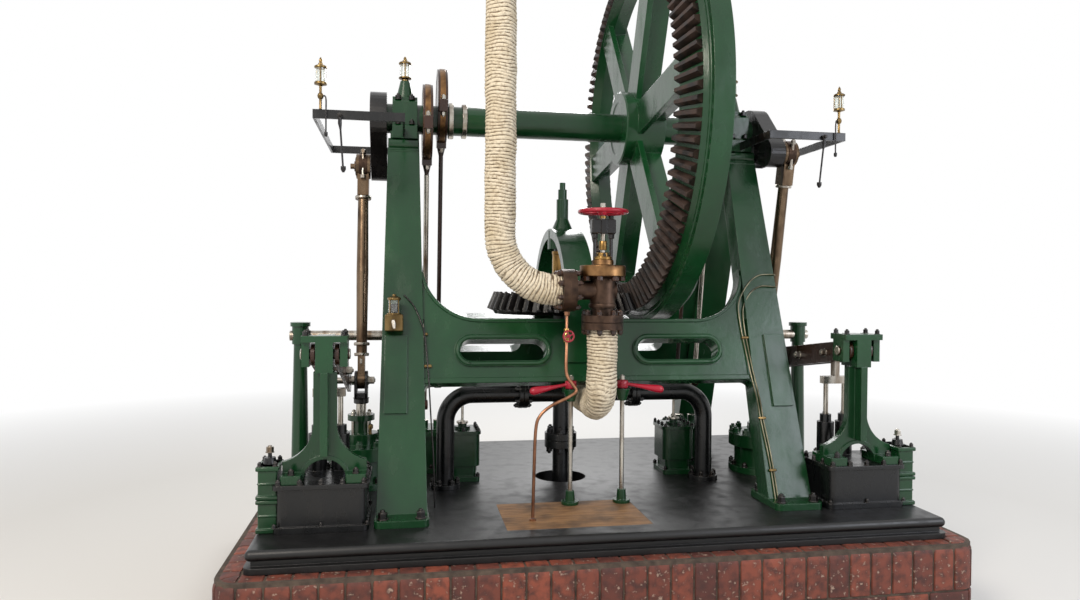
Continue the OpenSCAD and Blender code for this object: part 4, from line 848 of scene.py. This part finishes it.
def make_inner_chests():
    """Bolted lids of the inner steam chests, each with a gland and the square-ended spindle of its valve."""
    lids, dark, bright = Piece(), Piece(), Piece()
    for s in SIDES:
        x, y = s * INNER_CHEST[0], INNER_CHEST[1]
        lids.add(plate(0.206, 0.236, 0.020, 0.046), place(bed(x, y, 271)))
        lids.add(turned(mm([(0, 290), (44, 290), (46, 292), (46, 304), (44, 306), (26, 306), (26, 322),
                            (0, 322)])),
                 place(bed(x, y, 0)))
        spots = grid(84, 99) + [(0, -99), (0, 99), (-84, -33), (-84, 33), (84, -33), (84, 33)]
        nuts(dark, x, y, 291, spots, 17)
        bright.add(turned(mm([(0, 322), (33, 322), (34, 323), (34, 333), (33, 334), (15, 334), (13, 338),
                              (0, 338)])),
                   place(bed(x, y, 0)))
        for t in SIDES:
            bright.nut(bed(x, y + t * 25, 334), UP, 0.013, 0.5, False)
        bright.add(tube([bed(x, y, 336), bed(x, y, 430)], 0.008, 16))
        bright.add(block(0.013, 0.013, 0.022, 0.0015), place(bed(x, y, 430)))
    lids.make("inner_chest_lids", GREEN, "engine")
    dark.make("inner_chest_nuts", OILY_IRON, "engine")
    bright.make("inner_chest_spindles", STEEL, "engine")


def make_drain():
    """The drain as one tube bent by hand, with a union nut at its top and a collar at the boards."""
    x0, front = -194, -860
    route = [(x0, -750, 1004), (x0, -750, 965), (x0 - 8, -785, 830), (x0 - 14, -818, 705),
             (x0 + 14, -835, 650), (x0 + 30, -842, 618), (x0 - 10, -850, 590), (x0 - 95, front, 552),
             (x0 - 150, front, 505), (x0 - 171, front, 440), (x0 - 178, front, 250), (x0 - 183, front, 14)]
    piece = Piece().add(tube(curve([bed(*p) for p in route], 8), 0.008, 16))
    piece.add(turned(mm([(0, 0), (16, 0), (16, 6), (11, 9), (0, 9)])), place(bed(x0 - 183, front, 0.5)))
    piece.nut(bed(x0, -750, 1004), DOWN, 0.026, 0.0, False)
    made = piece.make("drain_tube", COPPER, "engine")
    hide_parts("drain_pipe")


def make_pump_nuts():
    """Nuts of the pump boxes, pedestals and pump valves, and the small ones of the pump glands."""
    piece, bright = Piece(), Piece()
    x, y = PEDESTAL
    for s in SIDES:
        lid = [(a, b * 168) for a in (-190, -95, 0, 95, 190) for b in SIDES]
        lid += [(-198, -85), (-198, 0), (-198, 85)]
        nuts(piece, s * PUMP_BOX[0], PUMP_BOX[1], 220, [(s * a, b) for a, b in lid], 22)
        nuts(piece, s * x, y, 260, grid(144, 72), 24)
        nuts(piece, s * x, y, 893, grid(86, 52), 22)
        for dx, dy in grid(34, 68):
            piece.nut(bed(s * PUMP_VALVE_X + dx, y + dy, 302), UP, 0.018, 0.3)
        bright.nut(bed(s * PUMP_VALVE_X, y, 352), UP, 0.030, 0.2)
        for t in SIDES:
            nuts(bright, s * x + t * 54, -600, 440, [(0, -22), (0, 22)], 10, stud=0.5, washer=False)
    piece.make("pump_nuts", OILY_IRON, "engine")
    bright.make("pump_gland_nuts", STEEL, "engine")


def make_bonnet(x, y):
    """The stop valve's bonnet: a gunmetal flange, a brass gland, and a black yoke on two rods."""
    flange, dark, gland = Piece(), Piece(), Piece()
    flange.add(turned(mm([(30, 1180), (112, 1180), (115, 1183), (115, 1231), (112, 1235), (62, 1235),
                          (56, 1240), (54, 1262), (30, 1262)]), 64), place(bed(x, y, 0)))
    made = flange.make("bonnet_flange", BONNET, "engine")
    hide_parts("valve_bonnet")
    gland.add(turned(mm([(12, 1262), (44, 1262), (46, 1265), (46, 1276), (44, 1279), (30, 1279),
                         (30, 1296), (27, 1300), (12, 1300)]), 40), place(bed(x, y, 0)))
    gland.make("bonnet_gland", BRASS, "engine")
    for t in SIDES:
        dark.add(tube([bed(x + t * 42, y, 1230), bed(x + t * 42, y, 1470)], 0.009, 16))
        dark.nut(bed(x + t * 42, y, 1234), UP, 0.028, 0.0)
        dark.nut(bed(x + t * 42, y, 1395), DOWN, 0.028, 0.0)
        dark.nut(bed(x + t * 42, y, 1466), UP, 0.022, 0.0)
        dark.nut(bed(x, y + t * 36, 1279), UP, 0.014, 0.5)
    for t in SIDES:
        dark.add(block(0.048, 0.050, 0.072, 0.004), place(bed(x + t * 37, y, 1394)))
        dark.add(block(0.030, 0.018, 0.072, 0.002), place(bed(x, y + t * 22, 1394)))
    dark.make("bonnet_yoke", OILY_IRON, "engine")


def make_pipe_bolts():
    """Bolts and rings of the stop valve and of the steam pipes' flanges."""
    piece = Piece()
    x, y = VALVE_AT
    for i in range(8):
        a = math.radians(22.5 + 45 * i)
        c, s = math.cos(a), math.sin(a)
        for z, axis in ((986, UP), (915, DOWN)):
            piece.nut(bed(x + 91 * c, y + 91 * s, z), axis, 0.024, 0.3, True, a)
        for at, axis in ((-159.7, ACROSS), (-228, -ACROSS)):
            piece.nut(bed(at, y + 91 * c, 1110 + 91 * s), axis, 0.024, 0.3, True, a)
        piece.nut(bed(x + 98 * c, y + 98 * s, 1180), DOWN, 0.028, 0.0, False, a)
    piece.make("pipe_bolts", BROWN_IRON, "engine")
    ring = Piece().add(turned(mm([(62, 1022), (68, 1024), (70, 1030), (70, 1038), (68, 1044), (62, 1046)]),
                              48),
                       place(bed(x, y, 0)))
    ring.add(turned(mm([(62, 1166), (72, 1170), (84, 1180), (62, 1180)]), 48), place(bed(x, y, 0)))
    ring.make("stop_valve_rings", BRONZE, "engine")
    make_bonnet(x, y)
    flanges = Piece()
    for s in SIDES:
        for at in (300, 326):
            flanges.add(turned(mm([(0, 0), (81, 0), (83, 2), (83, 22), (81, 24), (0, 24)]), 40),
                        place(bed(s * at, CROSS_PIPE[1], CROSS_PIPE_Z), ACROSS * s))
        flanges.nut_ring(bed(s * 350, CROSS_PIPE[1], CROSS_PIPE_Z), ACROSS * s, 0.068, 6, 0.022)
        flanges.nut_ring(bed(s * 300, CROSS_PIPE[1], CROSS_PIPE_Z), -ACROSS * s, 0.068, 6, 0.022)
    flanges.make("cross_pipe_flanges", BLACK, "engine")


make_bed_nuts()
make_cylinder_nuts()
make_bearing_nuts()
make_pump_valves()
make_inner_chests()
make_drain()
make_pump_nuts()
make_pipe_bolts()

# Oil cups, cocks and small pipes


def make_oil_cups():
    """Oil cups on the guards and bearings, drip rods, the leg's lubricator and the grease cocks."""
    metal, glass, iron = Piece(), Piece(), Piece()
    low_cup = [(0, 2003), (10, 2003), (7, 2008), (7, 2054), (12, 2058), (16, 2070), (12, 2082), (7, 2086),
               (7, 2118),
               (14, 2124), (31, 2127), (31, 2136), (28, 2139), (0, 2139)]
    low_lid = [(0, 2207), (28, 2207), (31, 2210), (31, 2216), (24, 2221), (12, 2224), (12, 2232),
               (7, 2236), (9, 2246),
               (5, 2258), (0, 2264)]
    high_cup = [(0, 2294), (20, 2294), (20, 2303), (14, 2306), (33, 2308), (36, 2311), (36, 2316),
                (33, 2318),
                (0, 2318)]
    high_lid = [(0, 2390), (33, 2390), (36, 2393), (36, 2399), (30, 2404), (16, 2407), (16, 2413),
                (8, 2417),
                (10, 2426), (4, 2436), (0, 2437)]
    for s in SIDES:
        for x, y, cup, lid, r, z0, z1 in ((1408, -510, low_cup, low_lid, 25, 2139, 2207),
                                          (BEARING_X, 0, high_cup, high_lid, 30, 2318, 2390)):
            where = place(bed(s * x, y, 0))
            metal.add(turned(mm(cup)), where).add(turned(mm(lid)), where)
            metal.add(tube([bed(s * x, y, z0), bed(s * x, y, z1)], 0.004))
            for i in range(3):
                a = math.radians(30 + 120 * i)
                dx, dy = (r + 2) * math.cos(a), (r + 2) * math.sin(a)
                metal.add(tube([bed(s * x + dx, y + dy, z0 - 2), bed(s * x + dx, y + dy, z1 + 2)], 0.0022,
                               8))
            glass.add(turned(mm([(r - 2.5, z0), (r, z0), (r, z1), (r - 2.5, z1), (r - 2.5, z0)])), where)
        bent = curve([bed(s * 1408, -510, 2070), bed(s * 1388, -521, 2069), bed(s * 1380, -526, 2052),
                      bed(s * 1380, -526, 1985), bed(s * 1380, -526, 1880)], 6)
        iron.add(tube(bent, 0.004))
        iron.add(turned(mm([(0, 0), (6, 0), (9, 8), (9, 22), (4, 24), (0, 24)])),
                 place(bed(s * 1380, -526, 1866)))
        iron.add(tube([bed(s * 1313, -522, 1975), bed(s * 1313, -521, 1935), bed(s * 1310, -519, 1905),
                       bed(s * 1298, -504, 1716)], [0.009, 0.010, 0.005, 0.005]))
        iron.add(turned(mm([(0, 0), (5, 0), (13, 14), (13, 30), (11, 30), (4, 16), (0, 16)])),
                 place(bed(s * 1297, -504, 1694)))
        iron.nut(bed(s * 1313, -528, 1975), FRONT, 0.018, 0.2)
    # Lubricator on the left leg, with its caged glass
    x, y = -1042, -502
    metal.add(block(0.092, 0.080, 0.086, 0.005), place(bed(x, y, 895)))
    metal.add(block(0.060, 0.060, 0.040, 0.004), place(bed(x, y + 45, 915)))
    metal.add(turned(mm([(0, 0), (36, 0), (36, 6), (30, 8), (0, 8)])), place(bed(x, y, 981)))
    metal.add(turned(mm([(0, 0), (32, 0), (34, 4), (34, 12), (20, 20), (10, 22), (10, 30), (0, 32)])),
              place(bed(x, y, 1052)))
    glass.add(turned(mm([(25, 989), (28, 989), (28, 1052), (25, 1052), (25, 989)])), place(bed(x, y, 0)))
    for i in range(4):
        a = math.radians(45 + 90 * i)
        dx, dy = 31 * math.cos(a), 31 * math.sin(a)
        metal.add(tube([bed(x + dx, y + dy, 986), bed(x + dx, y + dy, 1056)], 0.003, 8))
    metal.add(tube([bed(x, y - 38, 925), bed(x, y - 66, 925)], 0.006))
    tap = Piece().add(turned(mm([(0, -30), (6, -29), (9, -20), (8, 0), (5, 14), (0, 15)])),
                      place(bed(x, y - 64, 925), Vector((0.15, 0, -1))))
    tap.make("lubricator_tap", PORCELAIN, "engine")
    oil = Piece().add(turned(mm([(0, 990), (23, 990), (23, 1034), (0, 1034)])), place(bed(x, y, 0)))
    oil.make("lubricator_oil", OILY_IRON, "engine")
    # Grease cocks on the cylinder covers
    for s in SIDES:
        at = place(bed(s * ROD_X, 0, 289)) @ Matrix.Translation((-s * 0.055, -0.058, 0))
        metal.add(turned(mm([(0, 0), (10, 0), (7, 4), (7, 26), (14, 32), (14, 50), (11, 54), (5, 56),
                             (0, 60)])), at)
    iron.make("drip_rods", OILY_IRON, "engine")
    made = metal.make("lubricator_metal", OLD_BRASS, "engine")
    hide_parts("lubricators")
    glass.make("lubricator_glass", GLASS, "engine")


def make_oil_pipes():
    """Thin oil pipes down the front portal, a pair on the right and one on the left, with clips."""
    piece = Piece()
    left = [(-993, -423, 1078), (-967, -432, 1052), (-936, -447, 1011), (-900, -479, 923),
            (-884, -494, 850),
            (-870, -548, 687), (-864, -572, 600), (-855, -590, 445), (-842, -600, 241), (-835, -600, 6)]
    outer = [(1106, -330, 1200), (1105, -366, 1204), (1083, -378, 1207), (1010, -378, 1204),
             (960, -387, 1180),
             (922, -400, 1146), (884, -412, 1094), (862, -422, 1044), (856, -436, 990), (858, -469, 895),
             (868, -511, 776), (876, -562, 653), (888, -614, 530), (892, -652, 423), (905, -705, 272),
             (911, -748, 149), (912, -789, 36), (912, -791, 26)]
    inner = [(1106, -350, 1132), (1105, -390, 1135), (1072, -403, 1138), (1012, -402, 1141),
             (965, -408, 1124),
             (930, -412, 1094), (900, -420, 1046), (882, -434, 994), (878, -469, 895), (886, -511, 776),
             (893, -562, 653), (903, -614, 530), (907, -652, 423), (920, -705, 272), (926, -748, 149),
             (927, -789, 36), (927, -791, 26)]
    for route in (outer, inner):
        piece.add(tube(curve([bed(*p) for p in route], 5), 0.004))
    piece.make("oil_pipes", TINNED, "engine")
    dark = Piece().add(tube(curve([bed(*p) for p in left], 5), 0.004))
    dark.make("left_oil_pipe", OILY_IRON, "engine")
    clips = Piece()
    where = portal()
    for x, z, face in ((-871, 700, FACE_OF_BEAM), (-890, 860, FACE_OF_BEAM), (874, 836, FACE_OF_BEAM),
                       (901, 410, FACE_OF_LEG), (919, 150, FACE_OF_LEG)):
        clips.add(block(0.040, 0.014, 0.016, 0.003), where @ Matrix.Translation((x * MM, along(z) * MM,
                                                                                 face * MM)))
    clips.make("oil_pipe_clips", OLD_BRASS, "engine")


def make_drain_cock():
    """The drain's small cock and its red wheel."""
    body, wheel = Piece(), Piece()
    at = bed(-198.7, -770.4, 885)
    axis = Vector((-16, -70, -274)).normalized()
    body.add(turned(mm([(0, -34), (15, -34), (15, -24), (12, -22), (17, -8), (17, 8), (12, 22), (15, 24),
                        (15, 34),
                        (0, 34)])), place(at, axis))
    body.add(tube([at, at + FRONT * 0.052], [0.011, 0.006]))
    body.make("drain_cock", BRASS, "engine")
    centre = at + FRONT * 0.050
    ring = [(26 + 4.5 * math.cos(a), 4.5 * math.sin(a)) for a in [math.pi * i / 6 for i in range(12)]]
    wheel.add(turned(mm(ring + [ring[0]])), place(centre, FRONT))
    for i in range(2):
        a = math.pi * i / 2 + 0.4
        arm = (ACROSS * math.cos(a) + UP * math.sin(a)) * 0.025
        wheel.add(tube([centre - arm, centre + arm], 0.0035, 8))
    wheel.add(turned(mm([(0, -7), (8, -7), (8, 7), (0, 9)])), place(centre, FRONT))
    wheel.make("drain_cock_wheel", RED, "engine")


def make_cock_levers():
    """Red bat levers, each on its bright spindle."""
    for s, side in zip(SIDES, ("left", "right")):
        body = side + "_cock_lever"
        x, y = s * COCK[0], COCK[1]
        lever, spindle = Piece(), Piece()
        lever.add(turned(mm([(0, 600), (27, 600), (30, 603), (30, 637), (27, 640), (13, 640), (13, 644),
                             (0, 644)])),
                  place(bed(x, y, 0)))
        bat = [(20, 9), (60, 9), (100, 11), (135, 15), (165, 19), (190, 21), (205, 20), (215, 14), (219, 6)]
        path = [bed(x + s * k, y - k * 0.1, 624 - k * 0.16) for k, r in bat]
        lever.add(tube(path, [r * MM for k, r in bat], 18))
        made = lever.make(body + "_bat", RED, body, sharp=50)
        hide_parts(body)
        spindle.add(tube([bed(x, y, 41), bed(x, y, 618)], 0.012, 20))
        spindle.nut(bed(x, y, 644), UP, 0.026, 0.2, False)
        spindle.make(body + "_spindle", STEEL, body)


def make_handwheel():
    """The stop valve's red wheel of five spokes, its spindle and the brass sleeves."""
    x, y = VALVE_AT
    wheel, spindle, sleeve = Piece(), Piece(), Piece()
    centre = bed(x, y, 1504)
    ring = [(116.5 + 11 * math.cos(a), 11 * math.sin(a)) for a in [math.pi * i / 8 for i in range(16)]]
    wheel.add(turned(mm(ring + [ring[0]]), 64), place(centre))
    wheel.add(turned(mm([(12, -20), (22, -20), (25, -16), (25, 16), (22, 20), (12, 20)])), place(centre))
    for i in range(5):
        a = 2 * math.pi * i / 5 + 0.3
        out = Vector((math.cos(a), math.sin(a), 0))
        wheel.add(tube([centre + out * 0.020, centre + out * 0.060 - UP * 0.004, centre + out * 0.112],
                       [0.009, 0.0075, 0.007], 12))
    made = wheel.make("valve_handwheel_rim", RED, "valve_handwheel")
    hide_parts("valve_handwheel")
    spindle.add(tube([bed(x, y, 1241), bed(x, y, 1530)], 0.0118, 20))
    spindle.nut(bed(x, y, 1524), UP, 0.026, 0.0, True)
    spindle.make("valve_spindle", STEEL, "valve_handwheel")
    sleeve.add(turned(mm([(12, 1470), (17, 1470), (17, 1482), (12, 1483)])), place(bed(x, y, 0)))
    sleeve.add(turned(mm([(12, 1312), (18, 1312), (20, 1316), (20, 1354), (18, 1358), (12, 1358)])),
               place(bed(x, y, 0)))
    sleeve.make("valve_spindle_sleeve", BRASS, "valve_handwheel")


make_oil_cups()
make_oil_pipes()
make_drain_cock()
make_cock_levers()
make_handwheel()

# Moving parts of each side

THROW = 0.300
ROD_L = 1.250
ECCENTRIC_THROW = 0.088
COGS_ROUND = 104
CRANK_ANGLE = {-1: math.radians(122), 1: math.radians(32)}


def rod_place(s):
    """The connecting rod: its small end's pin as the origin, Z up along the rod."""
    a = CRANK_ANGLE[s]
    pin_y, pin_z = -THROW * math.cos(a), SHAFT - THROW * math.sin(a)
    rise = math.sqrt(ROD_L ** 2 - pin_y ** 2)
    return place(Vector((s * ROD_X * MM, 0, pin_z - rise)), Vector((0, pin_y, rise)))


def make_crosshead(s, side):
    """The crosshead's black jaws, and its bright pin, trunnion and piston rod."""
    body = side + "_crosshead"
    pin = rod_place(s).to_translation()
    jaws, bright = Piece(), Piece()
    for t in SIDES:
        at = pin + ACROSS * (t * 0.029)
        jaws.add(turned(mm([(0, -8), (52, -8), (55, -5), (55, 5), (52, 8), (0, 8)]), 48), place(at, ACROSS))
        jaws.add(block(0.016, 0.110, 0.100, 0.002), place(at - UP * 0.100))
    jaws.add(block(0.074, 0.110, 0.034, 0.004), place(pin - UP * 0.100))
    jaws.add(turned(mm([(0, -130), (38, -130), (42, -126), (42, -104), (46, -99), (0, -99)])), place(pin))
    made = jaws.make(body + "_jaws", OILY_IRON, body)
    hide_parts(body)
    bright.add(turned(mm([(0, -42), (24, -42), (26, -40), (26, 53), (18, 53.4), (18, 192), (16, 194),
                          (0, 194)]), 40),
               place(pin, ACROSS * s))
    bright.add(turned(mm([(0, -854), (28, -852), (28, -128), (0, -128)]), 40), place(pin))
    bright.nut(pin + ACROSS * (s * 0.1945), ACROSS * s, 0.038, 0.15, False)
    bright.nut(pin - ACROSS * (s * 0.041), -ACROSS * s, 0.036, 0.15, True)
    bright.make(body + "_steel", STEEL, body)


def make_rod(s, side):
    """Bright rings, cotter and straps of a connecting rod, and the brasses of its big end."""
    body = side + "_connecting_rod"
    where = rod_place(s)
    bright, brass = Piece(), Piece()
    for low, high, r in ((141, 156, 41.5), (201, 215, 44.5), (1055, 1069, 46.5)):
        bright.add(turned(mm([(28, low), (r - 2, low), (r, low + 2), (r, high - 2), (r - 2, high),
                              (28, high)]), 40),
                   where)
    bright.add(block(0.014, 0.112, 0.030, 0.002), where @ Matrix.Translation((0, 0, 0.092)))
    for t in SIDES:
        rise = where @ Vector((0, t * 0.062, ROD_L - 0.066))
        top = where @ Vector((0, t * 0.062, ROD_L + 0.060))
        bright.add(tube([rise, top], 0.0095, 16))
        axis = (top - rise).normalized()
        bright.nut(rise, -axis, 0.026, 0.0, False)
        bright.nut(top, axis, 0.026, 0.2, True)
    bright.make(body + "_bright", STEEL, body)
    end = where @ Matrix.Translation((0, 0, ROD_L)) @ place((0, 0, 0), ACROSS * s)
    brass.add(turned(mm([(60, -24), (74, -24), (76, -22), (76, 22), (74, 24), (60, 24)]), 48), end)
    brass.add(turned(mm([(0, 39), (50, 39), (54, 41), (54, 44), (50, 46), (0, 46)]), 48), end)
    brass.make(body + "_brasses", BRONZE, body)


def make_beam_pins(s, side):
    """Bright ends of the beam's pivot, and the nuts of its stays."""
    body = side + "_beam"
    pivot = bed(s * PEDESTAL[0], PEDESTAL[1], PIVOT_Z)
    pin = rod_place(s).to_translation()
    reach = Vector((0, -PEDESTAL[1] * MM, pin.z - pivot.z)).normalized()
    bright = Piece()
    for t in SIDES:
        out = ACROSS * t
        bright.add(turned(mm([(0, 0), (25, 0), (25, 2), (22, 5), (0, 5)]), 32),
                   place(pivot + out * 0.1085, out))
        stay = pivot + reach * 0.480 + out * 0.063
        bright.nut(stay, out, 0.034, 0.2)
        bright.nut(pivot + reach * 0.200 + out * 0.063, out, 0.030, 0.1)
    bright.make(body + "_pins", STEEL, body)


def make_eccentric(s, side, name, x, lead):
    """An eccentric rod's gunmetal band, iron lugs, bolts and bright ends."""
    body = side + "_" + name + "_eccentric_rod"
    a = CRANK_ANGLE[s] + math.radians(lead)
    centre = Vector((s * x * MM, -ECCENTRIC_THROW * math.cos(a), SHAFT - ECCENTRIC_THROW * math.sin(a)))
    run = Vector((0, 0.300, BED + 0.440 - SHAFT))
    where = place(centre, -run)
    iron, bright = Piece(), Piece()
    for t in SIDES:
        iron.add(block(0.052, 0.040, 0.070, 0.004), where @ Matrix.Translation((0, t * 0.222, -0.035)))
        for z, axis in ((0.035, 1), (-0.035, -1)):
            at = where @ Vector((0, t * 0.228, z))
            bright.nut(at, (where.to_3x3() @ UP) * axis, 0.022, 0.25)
        at = where @ Vector((0, t * 0.046, -0.234))
        bright.nut(at, where.to_3x3() @ DOWN, 0.022, 0.25)
    iron.make(body + "_lugs", BROWN_IRON, body)
    band = Piece().add(turned(mm([(208, -15), (211.5, -15), (212.5, -14), (212.5, 14), (211.5, 15),
                                  (208, 15)]), 72),
                       where @ place((0, 0, 0), ACROSS))
    band.make(body + "_band", BONNET, body)
    length = run.length
    bright.add(turned(mm([(0, 0), (15.5, 0), (15.5, 190), (14, 192), (0, 192)])),
               where @ Matrix.Translation((0, 0, -length + 0.030)))
    bright.add(turned(mm([(14, -21.5), (22, -21.5), (22, 21.5), (14, 21.5)])),
               where @ Matrix.Translation((0, 0, -length)) @ place((0, 0, 0), ACROSS))
    if name == "outer":
        bright.add(tube([where @ Vector((0, 0, -0.290)), where @ Vector((0, 0, 0.220 - length))], 0.0145,
                        20))
    bright.make(body + "_bright", STEEL, body)


def make_shaft_parts():
    """Collars and ends of the crankshaft, beads and cog tails of the wheel, and the pump shaft's nuts."""
    bright = Piece()
    for s in SIDES:
        end = Vector((s * 1.1835, 0, SHAFT))
        bright.add(turned(mm([(0, 0), (76, 0), (76, 1), (72, 2.5), (0, 2.5)]), 48), place(end, ACROSS * s))
        for x, r in ((732, 102), (655, 97)):
            bright.add(turned(mm([(90, -13), (r - 2, -13), (r, -11), (r, 11), (r - 2, 13), (90, 13)]), 64),
                       place(Vector((s * x * MM, 0, SHAFT)), ACROSS))
    bright.make("shaft_collars", STEEL, "crankshaft")
    hub = Vector((0, 0, SHAFT))
    wheel, tails = Piece(), Piece()
    wheel.add(turned(mm([(1112, 0), (1114, -4), (1119, -6), (1124, -4), (1126, 0)]), 160),
              place(hub + ACROSS * 0.402, ACROSS))
    wheel.add(turned(mm([(150, 0), (158, -5), (206, -5), (211, 0)]), 64),
              place(hub + ACROSS * 0.270, ACROSS))
    wheel.make("wheel_beads", GREEN, "crankshaft")
    for i in range(COGS_ROUND):
        turn = Matrix.Rotation(2 * math.pi * i / COGS_ROUND, 4, "X")
        at = Matrix.Translation(hub) @ turn @ Matrix.Translation((0.464, 0, -1.022))
        tails.add(block(0.024, 0.024, 0.062, 0.003), at @ Matrix.Translation((0.012, 0, -0.031)))
    tails.make("cog_tails", COGS, "crankshaft")
    couple, bush = Piece(), Piece()
    for z, axis in ((263, UP), (180, DOWN)):
        couple.nut_ring(bed(PUMP_SHAFT_X, 0, z), axis, 0.073, 6, 0.032, first=0.3)
    couple.make("coupling_nuts", OILY_IRON, "pump_shaft")
    bush.add(turned(mm([(47, 1200), (55, 1200), (57, 1204), (57, 1318), (60, 1322), (60, 1338),
                        (47, 1340)]), 48),
             place(bed(PUMP_SHAFT_X, 0, 0)))
    bush.make("pump_shaft_bush", BRASS, "pump_shaft")


for s, side in zip(SIDES, ("left", "right")):
    make_crosshead(s, side)
    make_rod(s, side)
    make_beam_pins(s, side)
    make_eccentric(s, side, "outer", 868, -100)
    make_eccentric(s, side, "inner", 783, 132)
make_shaft_parts()

# Finishes of the model's own nodes

NODE_FINISH = {
    GREEN: ["front_frame", "rear_frame", "main_bearings", "cylinders", "valve_chests", "pedestals",
            "rear_columns",
            "inner_chests", "pump_bridge", "cock_stands", "crankshaft", "bevel_wheel"],
    BED_IRON: ["bedplate"],
    BLACK: ["crank_guards", "cross_pipe", "pump_boxes", "pump_shaft"],
    OILY_IRON: ["cranks", "bevel_pinion"],
    BROWN_IRON: ["eccentric_sheaves", "left_beam", "right_beam", "left_outer_eccentric_rod",
                 "left_inner_eccentric_rod", "right_outer_eccentric_rod", "right_inner_eccentric_rod"],
    STEEL: ["rocking_shafts", "left_crosshead", "right_crosshead", "left_pump_rod", "right_pump_rod"],
    ROD_STEEL: ["left_connecting_rod", "right_connecting_rod"],
    BRASS: ["lubricators"],
    BRONZE: ["stop_valve"],
    BONNET: ["valve_bonnet"],
    COPPER: ["drain_pipe"],
    RED: ["valve_handwheel", "left_cock_lever", "right_cock_lever"],
    COGS: ["wheel_cogs"],
    BOARDS: ["floor_boards"],
}


def dress_nodes():
    """Gives the model's own nodes their finishes."""
    for finish, names in NODE_FINISH.items():
        for name in names:
            node = frame["nodes"][name]
            node.data.materials.clear()
            node.data.materials.append(finish)


dress_nodes()

# Floor, world and lamps


def make_stage():
    """A pale floor that keeps its shadow near the engine and fades to white far off."""
    made, tree, shader, own = new_material("pale_studio_floor")
    far = add(tree, "VectorMath", {0: own}, operation="LENGTH").outputs["Value"]
    fade = add(tree, "MapRange", {"Value": far, "From Min": 4.0, "From Max": 9.0}).outputs[0]
    shader.inputs["Base Color"].default_value = srgb("#e4e2de")
    shader.inputs["Roughness"].default_value = 0.8
    white = add(tree, "Emission", {"Color": (1, 1, 1, 1), "Strength": 1.0})
    path = add(tree, "LightPath")
    seen = add(tree, "Math", {0: path.outputs["Is Camera Ray"], 1: path.outputs["Is Glossy Ray"]},
               operation="MAXIMUM").outputs[0]
    seen = add(tree, "Math", {0: seen, 1: path.outputs["Is Transmission Ray"]},
               operation="MAXIMUM").outputs[0]
    share = add(tree, "Math", {0: seen, 1: fade}, operation="MULTIPLY").outputs[0]
    mixed = add(tree, "MixShader", {0: share, 1: shader.outputs[0], 2: white.outputs[0]})
    tree.links.new(mixed.outputs[0], tree.nodes["Material Output"].inputs["Surface"])
    half = 40.0
    mesh = bpy.data.meshes.new("floor")
    mesh.from_pydata([(-half, -half, 0), (half, -half, 0), (half, half, 0), (-half, half, 0)], [],
                     [[0, 1, 2, 3]])
    mesh.materials.append(made)
    floor = bpy.data.objects.new("floor", mesh)
    scene.collection.objects.link(floor)


def make_world():
    """Soft light from all round, which is white where the camera, metal or glass sees it."""
    world = bpy.data.worlds.new("studio")
    world.use_nodes = True
    scene.world = world
    tree = world.node_tree
    soft = tree.nodes["Background"]
    soft.inputs["Color"].default_value = srgb("#f2f4f7")
    soft.inputs["Strength"].default_value = 0.5
    white = add(tree, "Background", {"Color": (1, 1, 1, 1), "Strength": 1.0})
    path = add(tree, "LightPath")
    seen = add(tree, "Math", {0: path.outputs["Is Camera Ray"], 1: path.outputs["Is Glossy Ray"]},
               operation="MAXIMUM").outputs[0]
    seen = add(tree, "Math", {0: seen, 1: path.outputs["Is Transmission Ray"]},
               operation="MAXIMUM").outputs[0]
    mixed = add(tree, "MixShader", {0: seen, 1: soft.outputs[0], 2: white.outputs[0]})
    tree.links.new(mixed.outputs[0], tree.nodes["World Output"].inputs["Surface"])


def lamp(name, at, target, size, watts, colour):
    """A round soft lamp that looks at a target."""
    data = bpy.data.lights.new(name, "AREA")
    data.shape = "DISK"
    data.size = size
    data.energy = watts
    data.color = srgb(colour)[:3]
    made = bpy.data.objects.new(name, data)
    aim = Vector(target) - Vector(at)
    made.matrix_world = Matrix.Translation(at) @ aim.to_track_quat("-Z", "Y").to_matrix().to_4x4()
    scene.collection.objects.link(made)


make_stage()
make_world()
lamp("key_lamp", (-4.5, -5.5, 6.0), (0, 0, 1.8), 3.0, 420, "#fff4e6")
lamp("fill_lamp", (5.0, -5.0, 3.5), (0, 0, 1.6), 4.0, 170, "#eef3ff")
lamp("rim_lamp", (1.5, 6.0, 5.5), (0, 0, 2.0), 3.0, 260, "#ffffff")
